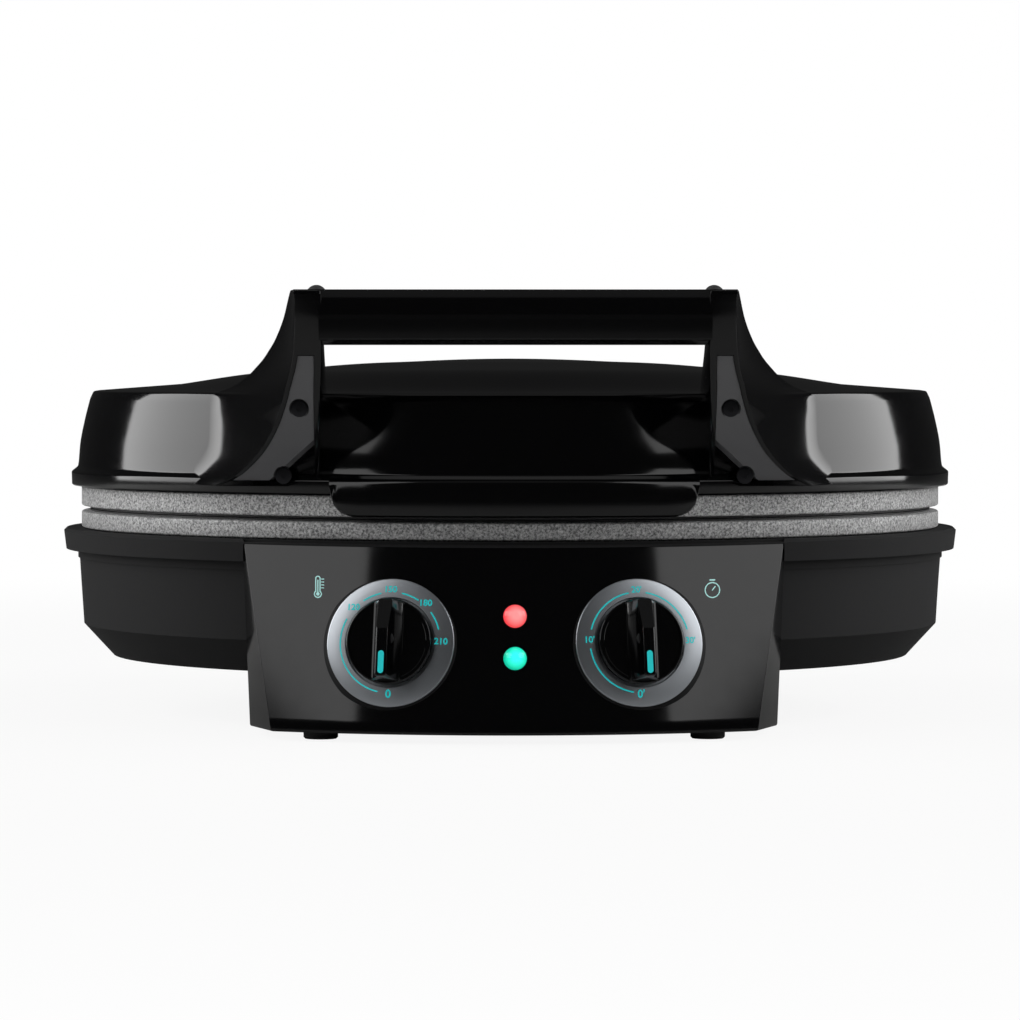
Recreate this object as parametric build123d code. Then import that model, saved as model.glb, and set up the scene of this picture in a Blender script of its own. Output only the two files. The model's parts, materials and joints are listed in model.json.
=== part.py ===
from build123d import *
import math
import os

# Electric pizza oven: two round coated plates between a bowl and a domed lid that swings on rear hinges.
# The origin is on the table under the middle of the bowl. +Z is up, the front faces -Y, sizes are millimetres.

# Clearances
fit_gap = 0.2
seat_gap = 0.3
running_gap = 0.05
screw_gap = 0.1

# Cooking plates, cast aluminium with a raised sealing land round a shallow dish
plate_radius = 160.0
plate_border = 10.0
dish_depth = 8.5
dish_draft = 3.0
plate_floor = 4.0
lower_flange = 6.3
upper_flange = 7.6
land_step = 0.8
land_inset = 0.7
plate_gap = 0.4
plate_edge = 0.4
plate_boss_radius = 5.0
plate_boss_inset = 20.0

# Feet and bottom covers
foot_height = 3.4
foot_radius = 6.0
foot_stem_radius = 2.5
foot_stem_grip = 2.0
front_foot_inset = (15.0, 11.0)
rear_foot_inset = (20.0, 21.0)
cover_thickness = 2.5
cover_ledge = 2.0
cover_screw_radius = 1.75
cover_screw_depth = 10.0
cover_boss_radius = 4.5
front_cover_screw_inset = (27.0, 40.0)
rear_cover_screw_inset = (22.0, 56.0)
screw_head_ratio = 1.8
screw_head_height = 1.6

# Bowl
bowl_wall = 2.4
bowl_floor_z = 21.3
bowl_chamfer_rise = 11.7
bowl_chamfer_run = 10.8
bowl_side_height = 27.8
bowl_side_flare = 1.6
bowl_wall_out = 0.8
rim_depth = 7.7
rim_out = 6.6
rim_edge_out = 5.8
rim_edge = 1.0
rim_ledge = 2.1
rim_bead_height = 3.2
rim_bead_out = 0.6
tower_radius = 6.0
tower_top_wall = 6.1
tower_bore_radius = 4.6

# Lid shell, measured from the plate flange that it sits on
lid_wall = 2.5
lid_bottom_out = 3.9
lid_flange_out = 4.2
lid_flange_top_out = 3.4
lid_flange_edge = 1.0
lid_flange_shoulder = 5.0
lid_flange_height = 7.2
lid_side_out = 1.2
lid_side_middle_in = 0.2
lid_side_middle_height = 19.6
lid_side_top_in = 3.4
lid_side_top_height = 32.7
lid_shoulder_in = 7.0
lid_shoulder_height = 36.1
lid_crown_radius = 42.0
lid_crown_height = 46.2
lid_peak_height = 46.8

# Front lip under the lid, between the arms
lip_half_width = 64.0
lip_drop = 6.4
lip_rise = 4.6
lip_gap = 1.3
lip_thickness = 4.2
lip_corner = 9.0

# Handle
handle_half_span = 65.6
handle_reach = 30.0
handle_height = 18.8
handle_depth = 20.0
handle_corner = 4.0
handle_wall = 3.0
handle_joint_inset = 3.6
handle_top_height = 70.5
handle_screw_radius = 2.0
handle_screw_length = 14.0
handle_foot_radius = 3.0
handle_foot_height = 1.6
handle_foot_inset = 1.9

# Control housing: the face leans forward towards the table and has a narrow facet at each side
housing_wall = 2.5
housing_bottom_z = 3.0
housing_top_drop = 0.9
housing_bottom_half_width = 82.0
housing_top_half_width = 94.0
housing_bottom_reach = 18.0
housing_bottom_sagitta = 16.0
housing_facet_out = 8.0
housing_facet_back = 25.0
housing_top_facet_out = 0.5
housing_top_facet_back = 1.0
housing_front_length = 50.0
housing_rim_wall = 2.8
control_window_half_width = 72.0
control_window_depth = 24.0
control_window_top_margin = 4.8

# Dials, seen square on: each ring lies on the leaning, curved face
dial_offset = 42.4
dial_z = 34.0
dial_splay = 11.0
dial_ring_radius = 22.0
dial_ring_proud = 1.8
dial_spigot_radius = 8.8
knob_radius = 14.75
knob_gap = 0.4
knob_disc = 3.2
knob_height = 14.3
blade_length = 28.0
blade_top_length = 23.0
blade_base_width = 10.5
blade_top_width = 3.9
pointer_length = 7.8
pointer_width = 2.0
pointer_depth = 0.6
pointer_offset = 6.5
shaft_radius = 3.0
shaft_grip = 10.0
shaft_bore_extra = 0.6
control_standoff = 4.0
control_screw_offset = 14.0
control_screw_radius = 1.5
thermostat_size = (34.0, 22.0, 16.0)
timer_size = (36.0, 22.0, 16.0)

# Lamps
lamp_radius = 4.0
lamp_dome = 2.2
lamp_flange_radius = 5.2
lamp_flange = 1.5
lamp_back = 6.0
red_lamp_z = 43.4
green_lamp_z = 29.1
lamp_board_width = 12.0
lamp_board_margin = 7.0
lamp_board_thickness = 2.5

# Rear housing and hinge
rear_half_width = 72.0
rear_reach = 26.0
rear_length = 71.0
rear_corner = 12.0
rear_top_gap = 0.4
rear_window_half_width = 25.0
hinge_setback = 16.0
hinge_foot_clearance = 0.3
hinge_offset = 50.0
hinge_pin_radius = 3.0
hinge_pin_head_radius = 4.5
hinge_pin_head = 2.0
hinge_lug_radius = 8.5
hinge_arm_width = 11.2
hinge_ear_width = 6.0
hinge_side_gap = 0.4
bracket_base = 2.4
bracket_base_side = 5.0
bracket_half_length = 7.5
bracket_screw_radius = 1.5
tongue_height = 4.0
tongue_lift = 4.8
tongue_length = 36.0
tongue_screw_places = (6.0, 15.0)
tongue_boss_radius = 3.6
tongue_screw_radius = 1.5
tongue_screw_grip = 10.0
tongue_screw_head = 0.5

# Wire passage along the hinge line
barrel_half_length = 20.0
barrel_radius = 7.5
barrel_bore_radius = 4.5
barrel_neck_half_width = 14.0
barrel_socket_depth = 12.0
elbow_radius = 4.0
elbow_bore_radius = 2.8
elbow_bend = 7.0
elbow_x = 25.5
elbow_flange_radius = 6.0
elbow_flange = 2.0
neck_channel_radius = 3.4

# Heating elements, reflectors and wiring
element_radius = 3.25
element_inset = 45.0
element_gap_angle = 20.0
element_leg = 17.0
clip_thickness = 1.0
clip_gap = 0.25
clip_width = 12.0
clip_foot = 7.0
reflector_sheet = 1.0
reflector_inset = 10.0
reflector_border = 18.0
reflector_slope = 4.0
reflector_dish = 6.0
reflector_screw_radius = 1.5
post_height = 6.0
upper_post_height = 9.5
plate_screw_radius = 2.0
lid_screw_inset = 6.5
lid_screw_boss = 5.6
lid_screw_boss_height = 20.0
lid_screw_length = 24.0
wire_radius = 1.5
terminal_size = (32.0, 14.0, 13.0)
terminal_pitch = 10.0
terminal_setback = 24.0
fuse_size = (24.0, 8.0, 5.0)
fuse_y = 24.0
bulb_radius = 3.0
bulb_length = 60.0
bulb_y = -60.0
capillary_hole = (-50.0, -66.0)
capillary_hole_radius = 3.0
capillary_radius = 1.0

# Cord inlet
gland_radius = 7.0
gland_flange_radius = 9.5
gland_flange = 3.0
gland_inside = 10.0
gland_bore_radius = 3.6
gland_z = 22.0

# Heights worked out from the sizes above
cover_bottom_z = foot_height
cover_top_z = cover_bottom_z + cover_thickness
bowl_side_z = bowl_floor_z + bowl_chamfer_rise
rim_bottom_z = bowl_side_z + bowl_side_height
rim_top_z = rim_bottom_z + rim_depth
lower_band_z = rim_top_z + lower_flange
lower_land_z = lower_band_z + land_step
upper_land_z = lower_land_z + plate_gap
upper_band_z = upper_land_z + land_step
lid_seat_z = upper_band_z + upper_flange
housing_top_z = rim_top_z - housing_top_drop
rear_top_z = rim_bottom_z - rear_top_gap
lower_under_z = lower_land_z - dish_depth - plate_floor
upper_back_z = upper_land_z + dish_depth + plate_floor
handle_top_z = lid_seat_z + handle_top_height
foot_top_z = handle_top_z + handle_foot_height
hinge_z = (foot_top_z + hinge_foot_clearance) / 2
hinge_y = plate_radius + hinge_setback

# Radii worked out from the sizes above
bowl_side_radius = plate_radius + bowl_wall_out
bowl_low_radius = bowl_side_radius - bowl_side_flare
bowl_floor_radius = bowl_low_radius - bowl_chamfer_run
rim_radius = plate_radius + rim_out
ledge_radius = plate_radius - rim_ledge
lid_flange_radius = plate_radius + lid_flange_out
lid_inner_radius = plate_radius + lid_side_out - lid_wall
lid_screw_circle = plate_radius - lid_screw_inset
dish_radius = plate_radius - plate_border
plate_boss_circle = dish_radius - plate_boss_inset
element_circle = dish_radius - element_inset
reflector_radius = dish_radius - reflector_inset
reflector_land = reflector_radius - reflector_border
rear_back_y = plate_radius + rear_reach

# Horn outline, from the lid seat up. Each row holds a height above the seat, then for the left horn how far
# the inner face, the swept front edge and the rear corner stand outside the handle's span, and how far the
# front face, the front edge, the rear corner and the inner root stand in front of the plate's edge.
horn_rows = [
    (2.6, 1.9, 37.9, 49.4, -14.5, -21.0, -43.5, -44.0),
    (6.6, 1.8, 30.8, 48.9, -11.0, -14.0, -42.5, -42.0),
    (11.6, 1.6, 25.2, 48.4, -5.0, -7.5, -42.0, -42.0),
    (16.6, 1.4, 21.0, 47.9, 1.5, -0.5, -41.5, -41.0),
    (24.1, 1.1, 16.8, 46.9, 10.0, 8.0, -41.0, -38.0),
    (32.1, 0.7, 13.8, 45.4, 18.0, 16.3, -41.0, -35.0),
    (37.6, 0.4, 12.3, 37.4, 22.0, 20.5, -37.0, -32.0),
    (40.6, 0.2, 11.4, 28.4, 23.7, 22.3, -23.0, -29.0),
    (43.1, 0.1, 10.7, 25.0, 25.0, 23.7, -10.0, -24.0),
    (48.6, 0.0, 9.6, 20.3, 27.0, 25.9, -1.0, -11.0),
    (53.6, 0.0, 9.4, 17.4, 28.3, 27.4, 6.0, -2.0),
    (60.3, 0.0, 9.0, 14.5, 29.3, 28.6, 11.0, 5.0),
    (70.5, 0.0, 9.8, 11.6, 30.0, 29.2, 16.0, 11.0),
]
horn_skin = 1.8
horn_rear_skin = 2.4
horn_cavity_bottom = 6.1
horn_cavity_top = 67.5
insert_bottom = 4.6
insert_top = 48.2
insert_recess = 0.6
insert_thickness = 2.8
insert_band = 1.5
insert_hole_radius = 3.25
insert_hole_depth = 1.2
insert_screw_radius = 1.5
insert_screw_length = 12.0
insert_boss_radius = 4.0
insert_screw_places = ((6.3, 30.0), (12.0, 7.4))


def lerp(low, high, share):
    return low + (high - low) * share


def disc(radius, bottom, top, x=0.0, y=0.0):
    height = top - bottom
    return Pos(x, y, (bottom + top) / 2) * Cylinder(radius, height)


def block(low, high):
    size = [top - bottom for bottom, top in zip(low, high)]
    middle = [(bottom + top) / 2 for bottom, top in zip(low, high)]
    return Pos(*middle) * Box(*size)


def turned(outline):
    return revolve(make_face(Plane.XZ * outline), Axis.Z, 360)


def turned_polygon(*points):
    return revolve(Plane.XZ * Polygon(*points, align=None), Axis.Z, 360)


def along_x(sketch, start, end):
    return extrude(Plane.YZ.offset(start) * sketch, end - start)


def circle_places(radius, count, first_angle):
    step = 360 / count
    angles = [math.radians(first_angle + step * index) for index in range(count)]
    return [(radius * math.cos(angle), radius * math.sin(angle)) for angle in angles]


def inset_pair(half_width, edge_y, inset):
    y = edge_y - math.copysign(inset[1], edge_y)
    return [(side * (half_width - inset[0]), y) for side in (-1, 1)]


def union(solids):
    result = solids[0]
    for solid in solids[1:]:
        result = result + solid
    return result


def group(solids):
    return Compound(children=[part for solid in solids for part in solid.solids()])


def mirrored(shape):
    return mirror(shape, about=Plane.YZ)


def save(shape, name):
    export_step(shape, f"parts/{name}.step")


# Places shared by bosses, holes and screws
post_places = circle_places(plate_boss_circle, 4, 45)
lid_screw_places = circle_places(lid_screw_circle, 4, 45)
front_cover_places = inset_pair(housing_bottom_half_width, -plate_radius, front_cover_screw_inset)
front_foot_places = inset_pair(housing_bottom_half_width, -plate_radius, front_foot_inset)
rear_cover_places = inset_pair(rear_half_width, rear_back_y, rear_cover_screw_inset)
rear_foot_places = inset_pair(rear_half_width, rear_back_y, rear_foot_inset)


# Bowl envelope: floor, chamfer, flared side and rim, grown by a margin where other pieces stand clear of it
def bowl_envelope(margin):
    return turned_polygon(
        (0, bowl_floor_z - margin),
        (bowl_floor_radius + margin / 2, bowl_floor_z - margin),
        (bowl_low_radius + margin, bowl_side_z - margin / 2),
        (bowl_side_radius + margin, rim_bottom_z),
        (bowl_side_radius + margin, rim_top_z),
        (0, rim_top_z),
    )


def housing_lean(z):
    return (z - housing_bottom_z) / (housing_top_z - housing_bottom_z)


# One level of the control housing: bowed front, two facets and straight sides, drawn smaller by an inset
def housing_section(z, inset, back_inset):
    share = housing_lean(z)
    top_middle = plate_radius + rim_out - fit_gap * 3
    top_corner = math.sqrt(top_middle ** 2 - housing_top_half_width ** 2)
    bottom_middle = plate_radius + housing_bottom_reach
    bottom_corner = bottom_middle - housing_bottom_sagitta
    half = lerp(housing_bottom_half_width, housing_top_half_width, share) - inset
    middle = lerp(bottom_middle, top_middle, share) - inset
    corner = lerp(bottom_corner, top_corner, share) - inset
    side = half + lerp(housing_facet_out, housing_top_facet_out, share)
    side_y = corner - lerp(housing_facet_back, housing_top_facet_back, share)
    back = plate_radius - housing_front_length + back_inset
    outline = ThreePointArc((-half, -corner), (0, -middle), (half, -corner))
    outline += Polyline((half, -corner), (side, -side_y), (side, -back), (-side, -back), (-side, -side_y),
                        (-half, -corner))
    return Plane.XY.offset(z) * make_face(outline)


def housing_block(bottom, top, inset, back_inset):
    return loft([housing_section(bottom, inset, back_inset), housing_section(top, inset, back_inset)],
                ruled=True)


# Distance of the panel in front of the axis, at a height and a sideways offset
def panel_reach(x, z):
    share = housing_lean(z)
    top_middle = plate_radius + rim_out - fit_gap * 3
    top_corner = math.sqrt(top_middle ** 2 - housing_top_half_width ** 2)
    bottom_middle = plate_radius + housing_bottom_reach
    half = lerp(housing_bottom_half_width, housing_top_half_width, share)
    middle = lerp(bottom_middle, top_middle, share)
    corner = lerp(bottom_middle - housing_bottom_sagitta, top_corner, share)
    sagitta = middle - corner
    bow = (half ** 2 + sagitta ** 2) / (2 * sagitta)
    return middle - bow + math.sqrt(bow ** 2 - x ** 2)


# Angle of the panel from upright at a sideways offset
def panel_lean(x):
    run = panel_reach(x, housing_bottom_z) - panel_reach(x, housing_top_z)
    return math.atan2(run, housing_top_z - housing_bottom_z)


# Local frame of a control on the panel: its Z leaves the panel, its Y runs up the face
def panel_frame(x, z, splay):
    turn = math.radians(splay)
    lean = panel_lean(x)
    outward = (math.sin(turn) * math.cos(lean), -math.cos(turn) * math.cos(lean), math.sin(lean))
    sideways = (math.cos(turn), math.sin(turn), 0)
    return Plane(origin=(x, -panel_reach(x, z), z), x_dir=sideways, z_dir=outward)


def dial_frame(side):
    return panel_frame(side * dial_offset, dial_z, side * dial_splay)


# Bowl
def base_bowl():
    outer = turned_polygon(
        (0, bowl_floor_z),
        (bowl_floor_radius, bowl_floor_z),
        (bowl_low_radius, bowl_side_z),
        (bowl_side_radius, rim_bottom_z - rim_bead_height),
        (bowl_side_radius + rim_bead_out, rim_bottom_z - rim_bead_height),
        (bowl_side_radius + rim_bead_out, rim_bottom_z),
        (plate_radius + rim_edge_out, rim_bottom_z),
        (rim_radius, rim_top_z - rim_edge),
        (rim_radius - rim_edge, rim_top_z),
        (0, rim_top_z),
    )
    inner = turned_polygon(
        (0, bowl_floor_z + bowl_wall),
        (bowl_floor_radius - bowl_wall / 2, bowl_floor_z + bowl_wall),
        (bowl_low_radius - bowl_wall, bowl_side_z + bowl_wall / 2),
        (ledge_radius, rim_bottom_z),
        (ledge_radius, rim_top_z),
        (0, rim_top_z),
    )
    tower_top = lower_under_z - post_height - reflector_sheet
    towers = [disc(tower_radius, bowl_floor_z, tower_top, x, y) for x, y in post_places]
    cover_places = front_cover_places + rear_cover_places
    bosses = [disc(cover_boss_radius, cover_top_z, bowl_floor_z + bowl_wall, x, y) for x, y in cover_places]
    bowl = union([outer - inner] + towers + bosses)
    for x, y in post_places:
        bowl -= disc(tower_bore_radius, bowl_floor_z - 1, tower_top - tower_top_wall, x, y)
        bowl -= disc(plate_screw_radius + screw_gap, bowl_floor_z, tower_top + 1, x, y)
    for x, y in cover_places:
        hole_top = cover_top_z + cover_screw_depth
        bowl -= disc(cover_screw_radius + running_gap, cover_top_z - 1, hole_top, x, y)
    inside_radius = rim_radius - rim_out + housing_rim_wall
    rim_cut = housing_block(rim_bottom_z - rim_bead_height, housing_top_z, -seat_gap, 0)
    rim_cut += Pos(0, 0, housing_top_z - rim_bottom_z) * housing_block(rim_bottom_z, rim_bottom_z + 1, -seat_gap, 0)
    bowl -= rim_cut - disc(inside_radius, 0, rim_top_z + 1)
    window_top = rim_bottom_z - control_window_top_margin
    window_back = plate_radius - control_window_depth
    bowl -= block((-control_window_half_width, -rim_radius, 0),
                  (control_window_half_width, -window_back, window_top))
    bowl -= block((-rear_window_half_width, window_back, bowl_side_z),
                  (rear_window_half_width, rim_radius, window_top))
    return bowl


# Control housing: hollow, open below for its cover and open behind where it meets the bowl
def control_housing():
    shell = housing_block(housing_bottom_z, housing_top_z, 0, 0)
    ledge_top = cover_top_z + cover_ledge
    inside = housing_block(housing_bottom_z - 1, cover_top_z, housing_wall, housing_wall)
    inside += housing_block(cover_top_z, ledge_top, housing_wall + cover_ledge, housing_wall + cover_ledge)
    inside += housing_block(ledge_top, housing_top_z + 1, housing_wall, housing_wall)
    shell -= inside
    boss_back = -housing_wall - control_standoff
    boss_top = -housing_wall * 0.7
    for side in (-1, 1):
        frame = dial_frame(side)
        for place in (-1, 1):
            x = place * control_screw_offset
            shell += frame * disc(cover_boss_radius, boss_back, boss_top, x)
    shell -= bowl_envelope(seat_gap)
    shell -= disc(plate_radius + housing_rim_wall + seat_gap, rim_bottom_z - rim_bead_height - seat_gap,
                  rim_top_z)
    for side in (-1, 1):
        frame = dial_frame(side)
        shell -= frame * disc(dial_spigot_radius + fit_gap, boss_back - 1, dial_ring_proud)
        for place in (-1, 1):
            x = place * control_screw_offset
            shell -= frame * disc(control_screw_radius + screw_gap, boss_back - 1, 0, x)
            shell -= frame * disc(control_screw_radius * 2, -housing_wall, dial_ring_proud, x)
    for z in (red_lamp_z, green_lamp_z):
        shell -= panel_frame(0, z, 0) * disc(lamp_radius + running_gap, -lamp_back, lamp_dome)
    return shell


def control_base_cover():
    inset = housing_wall + fit_gap
    cover = housing_block(cover_bottom_z, cover_top_z, inset, inset)
    for x, y in front_cover_places:
        cover -= disc(cover_screw_radius + screw_gap, cover_bottom_z - 1, cover_top_z + 1, x, y)
        cover -= disc(cover_screw_radius * screw_head_ratio + fit_gap, cover_bottom_z - 1,
                      cover_bottom_z + screw_head_height, x, y)
    for x, y in front_foot_places:
        cover -= disc(foot_stem_radius + running_gap, cover_bottom_z - 1, cover_top_z + 1, x, y)
    return cover


def cover_screws(places):
    screws = []
    for x, y in places:
        head_top = cover_bottom_z + screw_head_height
        head = disc(cover_screw_radius * screw_head_ratio, cover_bottom_z, head_top, x, y)
        shank = disc(cover_screw_radius, cover_bottom_z, cover_top_z + cover_screw_depth - 1, x, y)
        screws.append(head + shank)
    return group(screws)


def rubber_feet(places):
    feet = []
    for x, y in places:
        pad = disc(foot_radius, 0, foot_height, x, y)
        pad = chamfer(pad.edges().group_by(Axis.Z)[0], foot_radius / 10)
        stem = disc(foot_stem_radius, foot_height, cover_top_z + foot_stem_grip, x, y)
        feet.append(pad + stem)
    return group(feet)


# Rear housing: a rounded block under the hinge, open below for its cover
def rear_section(z, inset):
    width = 2 * (rear_half_width - inset)
    length = rear_length - 2 * inset
    corner = max(rear_corner - inset, 1)
    middle = rear_back_y - rear_length / 2
    return Plane.XY.offset(z) * (Pos(0, middle) * RectangleRounded(width, length, corner))


def rear_block(bottom, top, inset):
    return loft([rear_section(bottom, inset), rear_section(top, inset)], ruled=True)


def bracket_screw_places():
    offset = hinge_arm_width / 2 + hinge_side_gap + hinge_ear_width + bracket_base_side / 2
    return [(side * (hinge_offset + place * offset), hinge_y) for side in (-1, 1) for place in (-1, 1)]


def rear_housing():
    shell = rear_block(housing_bottom_z, rear_top_z, 0)
    top_edges = shell.edges().group_by(Axis.Z)[-1]
    shell = fillet(top_edges, housing_wall)
    ledge_top = cover_top_z + cover_ledge
    inside = rear_block(housing_bottom_z - 1, cover_top_z, housing_wall)
    inside += rear_block(cover_top_z, ledge_top, housing_wall + cover_ledge)
    inside += rear_block(ledge_top, rear_top_z - housing_wall, housing_wall)
    shell -= inside
    for x, y in bracket_screw_places():
        shell += disc(tongue_boss_radius, rear_top_z - 3 * housing_wall, rear_top_z - housing_wall / 2, x, y)
    for x, y in bracket_screw_places():
        shell -= disc(bracket_screw_radius + running_gap, rear_top_z - 4 * housing_wall, rear_top_z + 1, x, y)
    shell -= bowl_envelope(seat_gap)
    shell -= disc(bowl_side_radius + rim_bead_out + seat_gap, rim_bottom_z - rim_bead_height - seat_gap,
                  rim_top_z)
    hole = Pos(0, rear_back_y, gland_z) * Rot(90, 0, 0) * Cylinder(gland_radius + fit_gap, 4 * housing_wall)
    shell -= hole
    shell -= disc(elbow_radius + fit_gap, rear_top_z - 2 * housing_wall, rear_top_z + 1, elbow_x, hinge_y)
    return shell


def rear_base_cover():
    cover = rear_block(cover_bottom_z, cover_top_z, housing_wall + fit_gap)
    for x, y in rear_cover_places:
        cover -= disc(cover_screw_radius + screw_gap, cover_bottom_z - 1, cover_top_z + 1, x, y)
        cover -= disc(cover_screw_radius * screw_head_ratio + fit_gap, cover_bottom_z - 1,
                      cover_bottom_z + screw_head_height, x, y)
    for x, y in rear_foot_places:
        cover -= disc(foot_stem_radius + running_gap, cover_bottom_z - 1, cover_top_z + 1, x, y)
    return cover


# Plates: the flange band, a step that makes the groove, the sealing land, the dish and the posts behind it
def cooking_plate(seat_z, band_z, land_z, up, post):
    floor_z = land_z + up * dish_depth
    back_z = floor_z + up * plate_floor
    plate = turned_polygon(
        (0, floor_z),
        (dish_radius - dish_draft, floor_z),
        (dish_radius, land_z),
        (plate_radius - land_inset, land_z),
        (plate_radius - land_inset, band_z),
        (plate_radius, band_z),
        (plate_radius, seat_z - up * plate_edge),
        (plate_radius - plate_edge, seat_z),
        (dish_radius + plate_floor, seat_z),
        (dish_radius + plate_floor - dish_draft, back_z),
        (0, back_z),
    )
    for x, y in post_places:
        low, high = sorted((back_z - up, back_z + up * post))
        plate += disc(plate_boss_radius, low, high, x, y)
    return plate


def lower_plate():
    plate = cooking_plate(rim_top_z, lower_band_z, lower_land_z, -1, post_height)
    for x, y in post_places:
        plate -= disc(plate_screw_radius + running_gap, lower_under_z - post_height - 1, lower_under_z - 1, x, y)
    return plate


def upper_plate():
    plate = cooking_plate(lid_seat_z, upper_band_z, upper_land_z, 1, upper_post_height)
    for x, y in post_places:
        plate -= disc(reflector_screw_radius + running_gap, upper_back_z + 1,
                      upper_back_z + upper_post_height + 1, x, y)
    for x, y in lid_screw_places:
        plate -= disc(plate_screw_radius + screw_gap, upper_land_z - 1, upper_back_z + 1, x, y)
        sink = plate_screw_radius + 2 * fit_gap
        plate -= Pos(x, y, upper_land_z + sink / 2) * Cone(
            plate_screw_radius * 2, plate_screw_radius + screw_gap, sink)
    return plate


# Heating element: a tube ring with a gap, whose ends turn away from the plate as terminal legs
def heating_element(back_z, up, gap_side):
    level = back_z + up * element_radius
    start = gap_side * 90 + element_gap_angle / 2
    ring = CenterArc((0, 0, level), element_circle, start, 360 - element_gap_angle)
    section = Plane(origin=ring @ 0, z_dir=ring % 0) * Circle(element_radius)
    tube = sweep(section, path=ring)
    pieces = [tube]
    for end in (ring @ 0, ring @ 1):
        low, high = sorted((level, level + up * element_leg))
        pieces.append(Pos(end.X, end.Y, level) * Sphere(element_radius))
        pieces.append(disc(element_radius, low, high, end.X, end.Y))
    return union(pieces)


def element_leg_places(gap_side):
    angles = [gap_side * 90 + side * element_gap_angle / 2 for side in (-1, 1)]
    return [(element_circle * math.cos(math.radians(angle)), element_circle * math.sin(math.radians(angle)))
            for angle in angles]


def element_clips(back_z, up, first_angle):
    level = back_z + up * element_radius
    inner = element_radius + clip_gap
    outer = inner + clip_thickness
    strap = Cylinder(outer, clip_width, rotation=(90, 0, 0))
    foot = Box(2 * (outer + clip_foot), clip_width, clip_thickness)
    strap += Pos(0, 0, -up * (element_radius - clip_thickness / 2)) * foot
    strap -= Cylinder(inner, clip_width + 1, rotation=(90, 0, 0))
    strap &= Pos(0, 0, up * (outer - element_radius) / 2) * Box(
        4 * outer + 2 * clip_foot, clip_width, outer + element_radius)
    clips = [Rot(0, 0, first_angle + step) * (Pos(element_circle, 0, level) * strap) for step in (0, 120, 240)]
    return group(clips)


# Reflector: a sheet pan with a flat land on the plate's posts and a dish away from the element
def reflector(face_z, up, gap_side, hole_radius):
    far_z = face_z + up * reflector_dish
    pan = turned_polygon(
        (0, far_z),
        (reflector_land - reflector_slope, far_z),
        (reflector_land, face_z),
        (reflector_radius, face_z),
        (reflector_radius, face_z + up * reflector_sheet),
        (reflector_land - reflector_sheet / 2, face_z + up * reflector_sheet),
        (reflector_land - reflector_slope - reflector_sheet / 2, far_z + up * reflector_sheet),
        (0, far_z + up * reflector_sheet),
    )
    low, high = sorted((face_z - up, far_z + 2 * up * reflector_sheet))
    for x, y in post_places:
        pan -= disc(hole_radius, low, high, x, y)
    for x, y in element_leg_places(gap_side):
        pan -= disc(element_radius + 1, low, high, x, y)
    return pan


def lower_reflector():
    pan = reflector(lower_under_z - post_height, -1, -1, plate_screw_radius + fit_gap)
    hole_x, hole_y = capillary_hole
    return pan - disc(capillary_hole_radius, bowl_floor_z, lower_under_z, hole_x, hole_y)


def lower_plate_screws():
    screws = []
    head_z = lower_under_z - post_height - reflector_sheet - tower_top_wall
    for x, y in post_places:
        head = disc(plate_screw_radius * screw_head_ratio, head_z - 2 * screw_head_height, head_z, x, y)
        shank = disc(plate_screw_radius, head_z, lower_under_z - 2, x, y)
        screws.append(head + shank)
    return group(screws)


def upper_reflector_screws():
    screws = []
    head_z = upper_back_z + upper_post_height + reflector_sheet
    for x, y in post_places:
        head = disc(reflector_screw_radius * screw_head_ratio, head_z, head_z + screw_head_height, x, y)
        shank = disc(reflector_screw_radius, upper_back_z + 2, head_z, x, y)
        screws.append(head + shank)
    return group(screws)


def upper_plate_screws():
    screws = []
    for x, y in lid_screw_places:
        head_z = upper_land_z + fit_gap
        head = Pos(x, y, head_z + plate_screw_radius / 2) * Cone(
            plate_screw_radius * 2 - 2 * fit_gap, plate_screw_radius, plate_screw_radius)
        shank = disc(plate_screw_radius, head_z, head_z + lid_screw_length, x, y)
        screws.append(head + shank)
    return group(screws)


# Controls behind the panel and their knobs in front of it
def control_body(side, size):
    frame = dial_frame(side)
    front = -housing_wall - control_standoff
    body = block((-size[0] / 2, -size[1] / 2, front - size[2]), (size[0] / 2, size[1] / 2, front))
    body += disc(dial_spigot_radius - 2 * fit_gap, front, front + control_standoff / 2)
    body -= disc(shaft_radius + running_gap, front - size[2] / 2, front + control_standoff)
    for place in (-1, 1):
        body -= disc(control_screw_radius + running_gap, front - size[2] / 2, front + 1,
                     place * control_screw_offset)
    return frame * body


def control_screws():
    screws = []
    front = -housing_wall - control_standoff
    for side in (-1, 1):
        for place in (-1, 1):
            x = place * control_screw_offset
            head = disc(control_screw_radius * screw_head_ratio, -housing_wall, -housing_wall + 1, x)
            shank = disc(control_screw_radius, front - cover_ledge * 3, -housing_wall, x)
            screws.append(dial_frame(side) * (head + shank))
    return group(screws)


def control_shaft(side):
    bottom = -housing_wall - control_standoff - thermostat_size[2] / 2 + 1
    return dial_frame(side) * disc(shaft_radius, bottom, dial_ring_proud + shaft_grip)


def dial_ring(side):
    frame = dial_frame(side)
    panel = housing_block(housing_bottom_z, housing_top_z, 0, 0)
    ring = frame * disc(dial_ring_radius, -2 * housing_wall, dial_ring_proud) - panel
    ring += frame * disc(dial_spigot_radius, -housing_wall, 0)
    return ring - frame * disc(shaft_radius + shaft_bore_extra, -2 * housing_wall, dial_ring_proud + 1)


def blade_section(width, length, z):
    return Plane.XY.offset(z) * Rectangle(width, length)


def knob_frame_pieces():
    base = dial_ring_proud + knob_gap
    top = dial_ring_proud + knob_height
    slot_z = top - pointer_depth
    pointer = block((-pointer_width / 2, -pointer_offset - pointer_length / 2, slot_z),
                    (pointer_width / 2, -pointer_offset + pointer_length / 2, top))
    return base, top, pointer


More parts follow.
